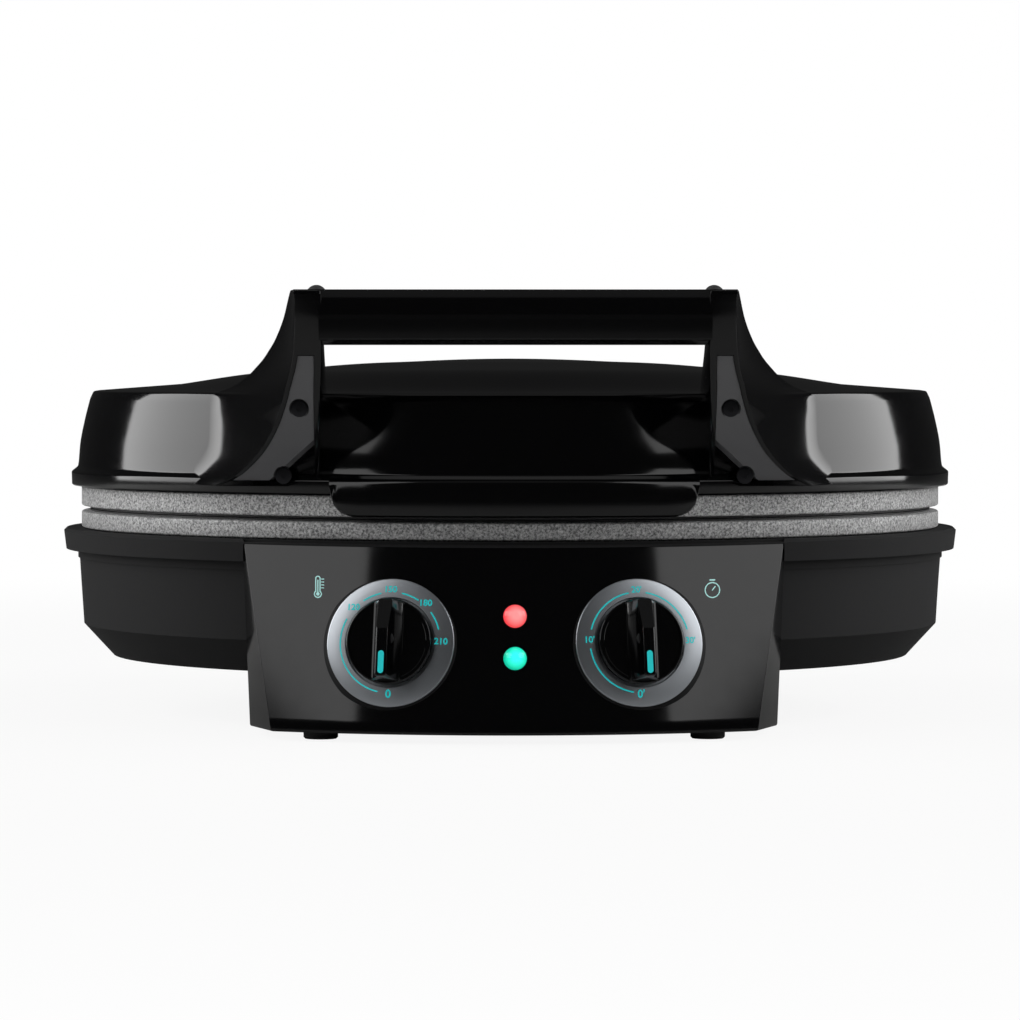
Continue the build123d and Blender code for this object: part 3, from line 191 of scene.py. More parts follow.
for side in (-1, 1):
    softbox(f"side_softbox_{side}", azimuth=side * 100, elevation=19.5, distance=1300, width=900, height=1000,
            radiance=side_glow)
    softbox(f"front_softbox_{side}", azimuth=side * 57.5, elevation=29, distance=1500, width=1220, height=1000,
            radiance=front_glow)
softbox("brow_softbox", azimuth=0, elevation=55, distance=1500, width=1200, height=600, radiance=brow_glow)
softbox("top_softbox", azimuth=0, elevation=88, distance=1500, width=1100, height=1100, radiance=top_glow)

camera = bpy.data.objects.new("camera", bpy.data.cameras.new("camera"))
scene.collection.objects.link(camera)
camera.data.lens = camera_lens
camera.data.clip_end = camera_reach * mm
camera.location = Vector((-camera_distance * math.sin(camera_yaw), -camera_distance * math.cos(camera_yaw),
                          camera_height)) * mm
aim = Vector((0, 0, camera_aim_height * mm)) - camera.location
camera.rotation_euler = aim.to_track_quat("-Z", "Y").to_euler()
scene.camera = camera
scene.view_settings.view_transform = "Standard"


# Bowl: the round lower casing, moulded in polypropylene with a fine spark grain. It is one moulding with its
# rim, and it stands on the control housing in front and on the rear housing behind.
slots = {row["node"]: row["material_slot"] for row in frame["record"]["subparts"]}
crisp_angle = 30
spark_grain = 0.5
spark_depth = 0.04


def dress(slot, material):
    """Gives a finish to every solid of the frame that the record puts in this slot."""
    for name, node in nodes.items():
        if slots[name] == slot:
            node.data.shade_smooth()
            node.data.set_sharp_from_angle(angle=math.radians(crisp_angle))
            node.data.materials.clear()
            node.data.materials.append(material)


def satin_black_pp():
    """Spark-grained polypropylene: black with no mirror in it. The side lights only graze it as a soft grey."""
    material, tree = new_material("satin_black_pp")
    place = add_node(tree, "ShaderNodeTexCoord")
    grain = add_node(tree, "ShaderNodeTexNoise", {"Vector": place.outputs["Object"]},
                     Scale=1 / (spark_grain * mm), Detail=3.0)
    bump = add_node(tree, "ShaderNodeBump", {"Height": grain.outputs["Fac"]}, Strength=0.2,
                    Distance=spark_depth * mm)
    rough = add_node(tree, "ShaderNodeMapRange", {"Value": grain.outputs["Fac"]},
                     **{"To Min": 0.7, "To Max": 0.8})
    shader = add_node(tree, "ShaderNodeBsdfPrincipled", {"Normal": bump.outputs["Normal"],
                      "Roughness": rough.outputs["Result"]},
                      **{"Base Color": linear("161617"), "IOR": 1.49, "Specular IOR Level": 0.25})
    add_node(tree, "ShaderNodeOutputMaterial", {"Surface": shader.outputs[0]})
    return material


satin_black = satin_black_pp()
dress("satin_black", satin_black)


# Control housing: a hollow ABS moulding with a high gloss, screwed under the bowl's front. Its face follows the
# bowl's rim above and leans out towards the table, and a narrow facet at each side turns back to a plain flank.
housing_bottom = 3.0
housing_top = 67.6
housing_bottom_half = 84.0
housing_top_half = 94.0
housing_bottom_radius = 178.0
housing_top_radius = 166.0
housing_bottom_facet = (8.2, 25.0)
housing_top_facet = (0.5, 1.0)
housing_back = 110.0
housing_corner = 0.3
housing_foot_edge = ((0.0, 0.8), (0.1, 0.4), (0.3, 0.15), (0.8, 0.0))
housing_levels = 16
housing_front_steps = 80
housing_wall = 2.5
housing_lid = 65.0
housing_land = 163.1
bowl_outside = ((148.6, 21.0), (151.2, 24.0), (159.4, 32.9), (160.5, 49.4), (160.9, 56.0), (163.1, 57.6))
bowl_cut_top = 80.0
cut_below = 2.0
shaft_clearance = 3.4
shaft_hole_ends = (-15.0, 3.0)
moulded_wave = 18.0
rubbed_patch = 6.0
moulding_angle = 20


def gloss_black_abs(name="gloss_black_abs"):
    """High-gloss ABS: it mirrors the softboxes as grey shapes with slightly soft edges and is black elsewhere."""
    material, tree = new_material(name)
    place = add_node(tree, "ShaderNodeTexCoord")
    waves = add_node(tree, "ShaderNodeTexNoise", {"Vector": place.outputs["Object"]},
                     Scale=1 / (moulded_wave * mm), Detail=2.0)
    bump = add_node(tree, "ShaderNodeBump", {"Height": waves.outputs["Fac"]}, Strength=0.02, Distance=0.02 * mm)
    rub = add_node(tree, "ShaderNodeTexNoise", {"Vector": place.outputs["Object"]},
                   Scale=1 / (rubbed_patch * mm), Detail=4.0)
    rough = add_node(tree, "ShaderNodeMapRange", {"Value": rub.outputs["Fac"]},
                     **{"To Min": 0.07, "To Max": 0.12})
    shader = add_node(tree, "ShaderNodeBsdfPrincipled", {"Normal": bump.outputs["Normal"],
                      "Roughness": rough.outputs["Result"]},
                      **{"Base Color": linear("050506"), "IOR": 1.52})
    add_node(tree, "ShaderNodeOutputMaterial", {"Surface": shader.outputs[0]})
    return material


def lerp(low, high, share):
    return low + (high - low) * share


def rounded(points, steps=5):
    """An open outline whose corners, given as (x, y, radius), are arcs. A corner with no radius stays sharp."""
    outline = []
    for place, corner in enumerate(points):
        radius = corner[2] if len(corner) > 2 else 0
        here = Vector(corner[:2])
        if not radius or place in (0, len(points) - 1):
            outline.append(tuple(here))
            continue
        before = Vector(points[place - 1][:2]) - here
        after = Vector(points[place + 1][:2]) - here
        half = before.angle(after) / 2
        reach = min(radius / math.tan(half), 0.49 * before.length, 0.49 * after.length)
        radius = reach * math.tan(half)
        before.normalize()
        after.normalize()
        centre = here + (before + after).normalized() * radius / math.sin(half)
        start, end = here + before * reach - centre, here + after * reach - centre
        for step in range(steps + 1):
            outline.append(tuple(centre + start.slerp(end, step / steps).normalized() * radius))
    return outline


def lofted(loops):
    """A closed skin through loops that have the same number of points, capped at both ends."""
    points = [point for loop in loops for point in loop]
    count = len(loops[0])
    faces = [[level * count + step, level * count + (step + 1) % count,
              (level + 1) * count + (step + 1) % count, (level + 1) * count + step]
             for level in range(len(loops) - 1) for step in range(count)]
    return points, faces + [list(range(count)), list(range(len(points) - count, len(points)))]


def mirrored(shape):
    return [(-x, y, z) for x, y, z in shape[0]], [face[::-1] for face in shape[1]]


def joined(*shapes):
    points, faces = [], []
    for some_points, some_faces in shapes:
        start = len(points)
        points += list(some_points)
        faces += [[start + v for v in face] for face in some_faces]
    return points, faces


def make_piece(name, shape, finish, body, replaced=(), angle=crisp_angle):
    """A piece from points and faces, smooth but for edges sharper than the angle, that rides a body."""
    piece = link_object(name, *shape)
    tidy = bmesh.new()
    tidy.from_mesh(piece.data)
    bmesh.ops.remove_doubles(tidy, verts=tidy.verts, dist=0.001 * mm)
    bmesh.ops.dissolve_degenerate(tidy, edges=tidy.edges, dist=0.001 * mm)
    bmesh.ops.recalc_face_normals(tidy, faces=tidy.faces)
    tidy.to_mesh(piece.data)
    tidy.free()
    piece.data.shade_smooth()
    piece.data.set_sharp_from_angle(angle=math.radians(angle))
    piece.data.materials.append(finish)
    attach(piece, body)
    if replaced:
        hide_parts(*replaced)
    return piece


def housing_loop(z, inset=0.0):
    share = (z - housing_bottom) / (housing_top - housing_bottom)
    half = lerp(housing_bottom_half, housing_top_half, share) - inset
    radius = lerp(housing_bottom_radius, housing_top_radius, share) - inset
    facets = zip(housing_bottom_facet, housing_top_facet)
    facet_out, facet_back = (lerp(low, high, share) for low, high in facets)
    corner = math.sqrt(radius ** 2 - half ** 2)
    back = housing_back + inset
    edge = math.asin((half - housing_corner) / radius)
    angles = [edge * (2 * step / housing_front_steps - 1) for step in range(housing_front_steps + 1)]
    front = [(radius * math.sin(angle), -radius * math.cos(angle)) for angle in angles]
    turn = [(half, -corner, housing_corner), (half + facet_out, facet_back - corner, housing_corner),
            (half + facet_out, -back)]
    right = rounded([front[-1]] + turn)[1:]
    left = [(-x, y) for x, y in reversed(right)]
    return [(x, y, z) for x, y in front + right + left]


def housing_shell():
    start = housing_bottom + housing_foot_edge[-1][0]
    loops = [housing_loop(housing_bottom + rise, inset) for rise, inset in housing_foot_edge]
    loops += [housing_loop(lerp(start, housing_top, step / housing_levels))
              for step in range(1, housing_levels + 1)]
    return lofted(loops)


def dial_place(joint_name):
    """The place of a dial: its origin on the panel, its Z out of the panel and its Y up the face."""
    joint = next(row for row in frame["joints"] if row["name"] == joint_name)
    out = -Vector(joint["axis"]).normalized()
    across = Vector((0, 0, 1)).cross(out).normalized()
    turn = Matrix((across, out.cross(across), out)).transposed()
    return Matrix.Translation(Vector(joint["pos_m"]) / mm) @ turn.to_4x4()


def placed(shape, place):
    return [tuple(place @ Vector(point)) for point in shape[0]], shape[1]


def cut_out(piece, cutters, angle):
    """Cuts shapes out of a piece, keeps the result as its mesh and marks its edges again."""
    for number, shape in enumerate(cutters):
        tool = link_object(f"cutter_{number}", *shape)
        cut = piece.modifiers.new(f"cut_{number}", "BOOLEAN")
        cut.operation = "DIFFERENCE"
        cut.solver = "EXACT"
        cut.object = tool
    bpy.context.view_layer.update()
    result = bpy.data.meshes.new_from_object(piece.evaluated_get(bpy.context.evaluated_depsgraph_get()))
    for cut in list(piece.modifiers):
        tool = cut.object
        piece.modifiers.remove(cut)
        bpy.data.objects.remove(tool)
    piece.data = result
    piece.data.set_sharp_from_angle(angle=math.radians(angle))


gloss_black = gloss_black_abs()
dress("gloss_black", gloss_black)
left_dial = dial_place("thermostat_turn")
right_dial = dial_place("timer_turn")
shell = make_piece("control_shell", housing_shell(), gloss_black, "base", ["control_housing"],
                   moulding_angle)
inside = lofted([housing_loop(housing_bottom - cut_below, housing_wall),
                 housing_loop(housing_lid, housing_wall)])
bowl = turned([(0, bowl_outside[0][1])] + list(bowl_outside)
              + [(housing_land, bowl_cut_top), (0, bowl_cut_top)])
hole_back, hole_front = shaft_hole_ends
shaft_hole = turned([(0, hole_back), (shaft_clearance, hole_back), (shaft_clearance, hole_front),
                     (0, hole_front)], 48)
cut_out(shell, [inside, bowl, placed(shaft_hole, left_dial), placed(shaft_hole, right_dial)], moulding_angle)


# Dials: a turned ring, painted silver, on a black skirt that meets the leaning panel. The skirt is painted shade:
# a dark cone, wider than the ring's own side, that stands for the ring's shadow and reflection on the panel. The
# ring is slightly conical, so it is bright towards its own side lamp and slate grey towards the middle. The scales
# are printed in teal.
ring_inner = 15.4
ring_outer = 22.2
ring_top = 2.1
ring_slope = 0.13
ring_edge = 0.35
ring_well = 0.9
# The skirt's sizes set how wide the painted shade round each ring shows.
skirt_out = 2.0
skirt_depth = 2.4
skirt_gap = 0.02
skirt_overlap = 0.1
skirt_lip = ((-0.1, 0.3), (0.15, 0.2))
print_height = 0.08
print_width = 0.5
lettering_boldness = 0.022
flake_size = 0.12
film_grain = 0.3
scale_radius = 17.4
temperature_marks = (("0", 270, 17.7, 2.9), ("120", 137, 17.9, 2.3), ("150", 91, 18.5, 2.3),
                     ("180", 49, 18.4, 2.3), ("210", 2, 17.7, 2.3))
temperature_arcs = ((153, 257), (103, 124), (58, 78), (16, 37))
minute_marks = (("0'", 269, 17.7, 2.9), ("10'", 176, 17.4, 2.4), ("20'", 91, 18.4, 2.4), ("30'", 2, 17.9, 2.4))
minute_arcs = ((187, 260), (101, 164), (15, 80))


def painted_silver():
    """Silver paint over ABS: metal flake under thin lacquer, which spreads a softbox into a broad pale sheen."""
    material, tree = new_material("painted_silver")
    place = add_node(tree, "ShaderNodeTexCoord")
    flake = add_node(tree, "ShaderNodeTexVoronoi", {"Vector": place.outputs["Object"]},
                     Scale=1 / (flake_size * mm))
    tone = add_node(tree, "ShaderNodeMapRange", {"Value": flake.outputs["Distance"]},
                    **{"To Min": 0.3, "To Max": 0.38})
    shader = add_node(tree, "ShaderNodeBsdfPrincipled", {"Roughness": tone.outputs["Result"]},
                      **{"Base Color": linear("c9ced4"), "Metallic": 1.0, "Coat Weight": 0.3,
                         "Coat Roughness": 0.15})
    add_node(tree, "ShaderNodeOutputMaterial", {"Surface": shader.outputs[0]})
    return material


def pad_print(name, code, glow):
    """Pad-printed ink: a matt film, drawn thicker than a real one so that it shows. A faint glow is painted light,
    since the ink is no lamp: it keeps the colour as clear on the black as the real ink's is."""
    material, tree = new_material(name)
    place = add_node(tree, "ShaderNodeTexCoord")
    film = add_node(tree, "ShaderNodeTexNoise", {"Vector": place.outputs["Object"]},
                    Scale=1 / (film_grain * mm), Detail=2.0)
    rough = add_node(tree, "ShaderNodeMapRange", {"Value": film.outputs["Fac"]},
                     **{"To Min": 0.4, "To Max": 0.55})
    shader = add_node(tree, "ShaderNodeBsdfPrincipled", {"Roughness": rough.outputs["Result"]},
                      **{"Base Color": linear(code), "Emission Color": linear(code), "Emission Strength": glow})
    add_node(tree, "ShaderNodeOutputMaterial", {"Surface": shader.outputs[0]})
    return material


def ring_surface(x, y):
    return ring_top - ring_slope * (math.hypot(x, y) - ring_inner)


def prism(outline, thickness=print_height, ground=None):
    """A flat outline as a thin slab that lies on a ground, given as a height at each place."""
    ground = ground or (lambda x, y: 0.0)
    count = len(outline)
    points = [(x, y, ground(x, y) + height) for height in (-thickness, thickness) for x, y in outline]
    faces = [[step, (step + 1) % count, count + (step + 1) % count, count + step] for step in range(count)]
    return points, faces + [list(range(count - 1, -1, -1)), list(range(count, 2 * count))]


def stroke(points, width):
    """Outline of a line of even width with round ends."""
    path = [Vector(point) for point in points]
    sides = []
    for place, point in enumerate(path):
        before, after = path[max(place - 1, 0)], path[min(place + 1, len(path) - 1)]
        across = (after - before).normalized().orthogonal() * width / 2
        sides.append((point + across, point - across))
    left, right = [a for a, b in sides], [b for a, b in sides]
    outline = list(left)
    for middle, start in ((path[-1], left[-1]), (path[0], right[0])):
        arm = start - middle
        for step in range(1, 6):
            outline.append(middle + Matrix.Rotation(-math.pi * step / 6, 2) @ arm)
        outline += list(reversed(right)) if middle is path[-1] else []
    return [tuple(point) for point in outline]


def arc_points(radius, start, end, centre=(0, 0)):
    steps = max(2, int(abs(end - start) / 3))
    angles = [math.radians(lerp(start, end, step / steps)) for step in range(steps + 1)]
    return [(centre[0] + radius * math.cos(a), centre[1] + radius * math.sin(a)) for a in angles]


def printed_text(words, height, centre, ground):
    """Raised lettering, set upright with its middle at the centre."""
    curve = bpy.data.curves.new("lettering", "FONT")
    curve.body = words
    curve.size = 1.0
    curve.offset = lettering_boldness
    curve.extrude = 0.01
    curve.resolution_u = 4
    holder = bpy.data.objects.new("lettering", curve)
    mesh = bpy.data.meshes.new_from_object(holder)
    corners = [vertex.co.copy() for vertex in mesh.vertices]
    low = [min(c[axis] for c in corners) for axis in (0, 1)]
    high = [max(c[axis] for c in corners) for axis in (0, 1)]
    size = height / (high[1] - low[1])
    points = []
    for corner in corners:
        x = centre[0] + (corner.x - (low[0] + high[0]) / 2) * size
        y = centre[1] + (corner.y - (low[1] + high[1]) / 2) * size
        points.append((x, y, ground(x, y) + math.copysign(print_height, corner.z)))
    faces = [list(face.vertices) for face in mesh.polygons]
    bpy.data.objects.remove(holder)
    bpy.data.curves.remove(curve)
    bpy.data.meshes.remove(mesh)
    return points, faces


def dial_ring():
    outer_top = ring_surface(ring_outer, 0)
    return turned([(shaft_clearance, 0), (shaft_clearance, ring_well), (ring_inner, ring_well)]
                  + rounded([(ring_inner, ring_well), (ring_inner, ring_top, ring_edge),
                             (ring_outer, outer_top, ring_edge), (ring_outer, 0)])
                  + [(shaft_clearance, 0)], 192)


# The skirt is painted shade: a satin black cone round the ring, for its shadow and reflection on the panel.
def dial_shade_skirt():
    lip = [(ring_outer + out, height) for out, height in skirt_lip]
    return turned([(shaft_clearance, -skirt_depth), (shaft_clearance, -skirt_gap),
                   (ring_outer - skirt_overlap, -skirt_gap)] + lip
                  + [(ring_outer + skirt_out, -skirt_depth), (shaft_clearance, -skirt_depth)], 192)


def dial_print(marks, arcs):
    shapes = []
    for words, angle, radius, height in marks:
        centre = (radius * math.cos(math.radians(angle)), radius * math.sin(math.radians(angle)))
        shapes.append(printed_text(words, height, centre, ring_surface))
    for start, end in arcs:
        outline = stroke(arc_points(scale_radius, start, end), print_width)
        shapes.append(prism(outline, ground=ring_surface))
    return joined(*shapes)


silver = painted_silver()
# The teal ink carries a faint painted glow, though it is no lamp.
teal = pad_print("printed_teal", "18c8ca", 0.28)
for side, place, marks, arcs in (("left", left_dial, temperature_marks, temperature_arcs),
                                 ("right", right_dial, minute_marks, minute_arcs)):
    make_piece(f"{side}_ring", placed(dial_ring(), place), silver, "base", [f"{side}_dial_ring"])
    make_piece(f"{side}_ring_shade_skirt", placed(dial_shade_skirt(), place), satin_black, "base",
               [f"{side}_dial_ring"])
    make_piece(f"{side}_scale", placed(dial_print(marks, arcs), place), teal, "base")


# Knobs: each is one ABS moulding, a low disc with a tall tapered blade across it, pressed on its shaft. The
# upper end of the blade is cut back on a slant, and a teal bar is set into the lower half of its top.
knob_radius = 14.75
knob_base = 2.25
knob_face = 5.4
knob_top = 16.1
knob_edge = 1.0
knob_groove = 13.35
knob_groove_shape = ((0.3, 0.0), (0.15, -0.2), (0.0, -0.2), (-0.2, 0.0))
blade_base = (10.5, 27.4)
blade_sunk = 0.3
blade_foot_height = 0.7
blade_foot = ((0.0, 0.0, -0.25), (0.2, 0.1, 0.0), (0.9, 0.0, 0.1), (2.9, 0.0, 1.6))
blade_shoulder = (4.9, 27.1, 4.6)
blade_top = (4.1, 27.0)
blade_corner = 0.9
blade_rounding = 0.45
slant_start = 2.9
slant_fall = 0.42
pointer_size = (2.0, 7.8)
pointer_middle = -8.7
pointer_rise = 0.04
pointer_sunk = 0.3
knob_angle = 15


def knob_disc():
    groove = [(knob_groove + out, knob_face + rise) for out, rise in knob_groove_shape]
    return turned([(shaft_clearance, knob_base), (shaft_clearance, knob_face)] + groove[::-1]
                  + rounded([groove[0], (knob_radius, knob_face, knob_edge), (knob_radius, knob_base)])
                  + [(shaft_clearance, knob_base)], 192)


def blade_loop(width, length, z):
    half_x, half_y = width / 2, length / 2
    corner = min(blade_corner, 0.45 * width)
    right = rounded([(0, -half_y), (half_x, -half_y, corner), (half_x, half_y, corner), (0, half_y)])
    return [(x, y, z) for x, y in right + [(-x, y) for x, y in reversed(right[1:-1])]]


def knob_blade():
    """The blade from its foot up: a bevelled foot, a narrow waist and a rounded crest."""
    foot = knob_face + blade_foot_height
    loops = [blade_loop(*blade_base, knob_face - blade_sunk)]
    loops += [blade_loop(blade_base[0] - narrower, blade_base[1] - shorter, foot + rise)
              for narrower, shorter, rise in blade_foot]
    loops += [blade_loop(*blade_shoulder[:2], knob_top - blade_shoulder[2]),
              blade_loop(*blade_top, knob_top - blade_rounding)]
    for angle in (math.radians(degrees) for degrees in range(10, 91, 10)):
        trim = 2 * blade_rounding * (1 - math.cos(angle))
        loops.append(blade_loop(blade_top[0] - trim, blade_top[1] - trim,
                                knob_top - blade_rounding * (1 - math.sin(angle))))
    return lofted(loops)


def cut_by_plane(shape, point, normal):
    """The shape without what lies beyond a plane, closed again where it was cut."""
    mesh = bpy.data.meshes.new("cut")
    mesh.from_pydata(shape[0], [], shape[1])
    work = bmesh.new()
    work.from_mesh(mesh)
    bpy.data.meshes.remove(mesh)
    everything = work.verts[:] + work.edges[:] + work.faces[:]
    found = bmesh.ops.bisect_plane(work, geom=everything, plane_co=point, plane_no=normal, clear_outer=True)
    rim = [item for item in found["geom_cut"] if isinstance(item, bmesh.types.BMEdge)]
    bmesh.ops.holes_fill(work, edges=rim)
    points = [tuple(vertex.co) for vertex in work.verts]
    faces = [[vertex.index for vertex in face.verts] for face in work.faces]
    work.free()
    return points, faces


def knob_pointer():
    half_x, half_y = pointer_size[0] / 2, pointer_size[1] / 2 - pointer_size[0] / 2
    outline = arc_points(half_x, 0, 180, (0, pointer_middle + half_y))
    outline += arc_points(half_x, 180, 360, (0, pointer_middle - half_y))
    points, faces = prism(outline, pointer_sunk)
    return [(x, y, z + knob_top - pointer_sunk + pointer_rise) for x, y, z in points], faces


slant = Vector((0, slant_fall, 1)).normalized()
blade = cut_by_plane(knob_blade(), (0, slant_start, knob_top), slant)
knob_black = gloss_black_abs("knob_black_abs")
dress("knob_black", knob_black)
for side, place in (("left", left_dial), ("right", right_dial)):
    make_piece(f"{side}_knob_moulding", placed(joined(knob_disc(), blade), place), knob_black, f"{side}_knob",
               [f"{side}_knob"], knob_angle)
    # The pointer bar's teal ink carries the same faint painted glow.
    make_piece(f"{side}_pointer_bar", placed(knob_pointer(), place), teal, f"{side}_knob",
               [f"{side}_knob_pointer"])


# Lamps: two domed lenses of tinted acrylic, red over green, pushed through the panel between the dials. A small
# lamp behind each shines through its middle.
lamp_heights = {"red_lamp_lens": 43.4, "green_lamp_lens": 29.1}
lamp_radius = 4.0
glow_middle = (0.6, -0.6, 0.8)
glow_reach = (0.4, 1.25)


def lit_lens(name, middle, rim, height):
    """Tinted acrylic with a lamp behind it: bright in the middle, deeper towards the rim, glossy outside."""
    material, tree = new_material(name)
    place = add_node(tree, "ShaderNodeTexCoord")
    centre = add_node(tree, "ShaderNodeVectorMath", {0: place.outputs["Object"]}, operation="SUBTRACT")
    centre.inputs[1].default_value = (glow_middle[0] * mm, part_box(name)[0][1] + glow_middle[1] * mm,
                                      (height + glow_middle[2]) * mm)
    away = add_node(tree, "ShaderNodeVectorMath", {0: centre.outputs[0]}, operation="LENGTH")
    reach = add_node(tree, "ShaderNodeMapRange", {"Value": away.outputs["Value"]},
                     **{"From Min": glow_reach[0] * lamp_radius * mm,
                        "From Max": glow_reach[1] * lamp_radius * mm})
    colour = add_node(tree, "ShaderNodeValToRGB", {"Fac": reach.outputs["Result"]})
    colour.color_ramp.elements[0].color = linear(middle)
    colour.color_ramp.elements[1].color = linear(rim)
    shader = add_node(tree, "ShaderNodeBsdfPrincipled", {"Base Color": colour.outputs["Color"],
                      "Emission Color": colour.outputs["Color"]},
                      **{"Roughness": 0.08, "IOR": 1.49, "Emission Strength": 0.95})
    add_node(tree, "ShaderNodeOutputMaterial", {"Surface": shader.outputs[0]})
    return material


dress("red_lens", lit_lens("red_lamp_lens", "ff8484", "d83a40", lamp_heights["red_lamp_lens"]))
dress("green_lens", lit_lens("green_lamp_lens", "30ffdc", "08a886", lamp_heights["green_lamp_lens"]))


# Icons: a thermometer above the left dial and a stopwatch above the right one. They are pad-printed on the
# panel in the dials' ink, thinner and straight on the black, so they read paler and greyer.
icon_width = 0.38
thermometer_place = (-67.8, 53.0)
stopwatch_place = (68.3, 51.6)
thermometer_stem = 0.75
thermometer_bulb = 1.2
thermometer_length = 5.3
thermometer_neck = 0.8
thermometer_opening = (130, 410)
thermometer_fill = 0.6
thermometer_ticks = 4
thermometer_tick = (0.5, 1.3)
tick_width = 0.32
stopwatch_radius = 2.55
stopwatch_arcs = ((0, 176), (180, 356))
stopwatch_button = (0.8, 0.9)
stopwatch_button_width = 0.5
stopwatch_hand = (0.95, 1.2)


def on_panel(shape, place):
    """Lays a flat shape on the bowed, leaning front of the control housing, with its origin at (x, height)."""
    points = []
    for x, y, z in shape[0]:
        across, height = place[0] + x, place[1] + y
        share = (height - housing_bottom) / (housing_top - housing_bottom)
        radius = lerp(housing_bottom_radius, housing_top_radius, share) + z
        points.append((across, -math.sqrt(radius ** 2 - across ** 2), height))
    return points, shape[1]


def thermometer():
    half = thermometer_length / 2
    neck = -half + thermometer_neck
    top = arc_points(thermometer_stem, 0, 180, (0, half))
    stem = [(thermometer_stem, neck)] + top + [(-thermometer_stem, neck)]
    bulb = arc_points(thermometer_bulb, *thermometer_opening, (0, -half))
    column = [(0, -half + 0.3), (0, half - thermometer_fill)]
    shapes = [prism(stroke(line, icon_width)) for line in (stem, bulb, column)]
    shapes.append(prism(arc_points(thermometer_fill, 0, 348, (0, -half))))
    start, end = (thermometer_stem + out for out in thermometer_tick)
    for step in range(thermometer_ticks):
        height = half - 0.2 - step
        shapes.append(prism(stroke([(start, height), (end, height)], tick_width)))
    return joined(*shapes)


def stopwatch():
    half, rise = stopwatch_button
    shapes = [prism(stroke(arc_points(stopwatch_radius, *arc), icon_width)) for arc in stopwatch_arcs]
    shapes += [prism(stroke([(-half, stopwatch_radius + rise), (half, stopwatch_radius + rise)],
                            stopwatch_button_width)),
               prism(stroke([(0, 0), stopwatch_hand], icon_width))]
    return joined(*shapes)


# The icons' pale teal ink carries a faint painted glow, though it is no lamp.
pale_teal = pad_print("pale_teal_print", "a8dcd8", 0.3)
make_piece("thermometer_icon", on_panel(thermometer(), thermometer_place), pale_teal, "base")
make_piece("stopwatch_icon", on_panel(stopwatch(), stopwatch_place), pale_teal, "base")


# Lid: one moulded shell of glossy ABS. A low wall carries a shallow top, and a rim stands out over the plates.
# Two horns grow out of its front, and a crease at each side of the top marks where it is drawn up towards them.
lid_rim = ((163.2, 84.4), (163.6, 84.8, 0.3), (163.75, 89.3, 0.8), (161.4, 91.2, 1.4), (161.1, 93.0, 8.0))
lid_wall = ((160.4, 100.6), (158.9, 108.1), (157.4, 114.1), (156.7, 116.6))
lid_shoulder_radius = 153.6
lid_shoulder_height = 119.4
lid_shoulder_corner = (155.5, 119.1, 1.0)
lid_inside = ((0, 127.0), (42.0, 126.0), (151.0, 116.0), (154.4, 113.0), (158.6, 92.0), (157.5, 84.4))
lid_steps = 360
lid_rings = 68
lid_ring_pitch = 2.2
lid_top_slope = 0.075
lid_peak = 131.2
lid_crown_radius = 43.0
lid_crown_fall = 1.0
lid_crown_blend = 0.6
lid_crown_outer = 1.7
lid_crown_fade = 0.9
lid_crease_front = (136.0, -75.0)
lid_crease_side = (121.0, 0.0)
lid_rise = 4.4
lid_rise_length = 34.0
lid_rise_fade = 50.0
lid_rise_back = 60.0
lid_rise_span = 120.0


def smooth_curve(points, steps):
    """Points of a smooth curve that passes through the given points."""
    through = [Vector(point) for point in points]
    padded = [2 * through[0] - through[1]] + through + [2 * through[-1] - through[-2]]
    curve = []
    for a, b, c, d in zip(padded, padded[1:], padded[2:], padded[3:]):
        for step in range(steps):
            t = step / steps
            curve.append(0.5 * (2 * b + (c - a) * t + (2 * a - 5 * b + 4 * c - d) * t * t
                                + (3 * b - a - 3 * c + d) * t * t * t))
    return curve + [through[-1]]


def eased(share):
    """A share from 0 to 1 that starts and ends softly."""
    share = min(max(share, 0), 1)
    return share * share * (3 - 2 * share)


def lid_top_height(x, y):
    """Height of the lid's top: a shallow cone, drawn up towards the middle inside the two creases."""
    radius = math.hypot(x, y)
    cone = lid_shoulder_height + lid_top_slope * (lid_shoulder_radius - radius)
    lean = (lid_crease_front[0] - lid_crease_side[0]) / (lid_crease_front[1] - lid_crease_side[1])
    inside = lid_crease_side[0] + lean * y - abs(x)
    rise = lid_rise * (1 - math.exp(-max(inside, 0) / lid_rise_length))
    rise *= eased((lid_shoulder_radius - radius) / lid_rise_fade) * eased((lid_rise_back - y) / lid_rise_span)
    height = cone + rise
    crown = lid_peak - lid_crown_fall * (radius / lid_crown_radius) ** 2
    both = math.exp(-height / lid_crown_blend) + math.exp(-crown / lid_crown_blend)
    softer = -lid_crown_blend * math.log(both)
    near = (lid_crown_outer * lid_crown_radius - radius) / (lid_crown_fade * lid_crown_radius)
    return lerp(height, softer, eased(near))


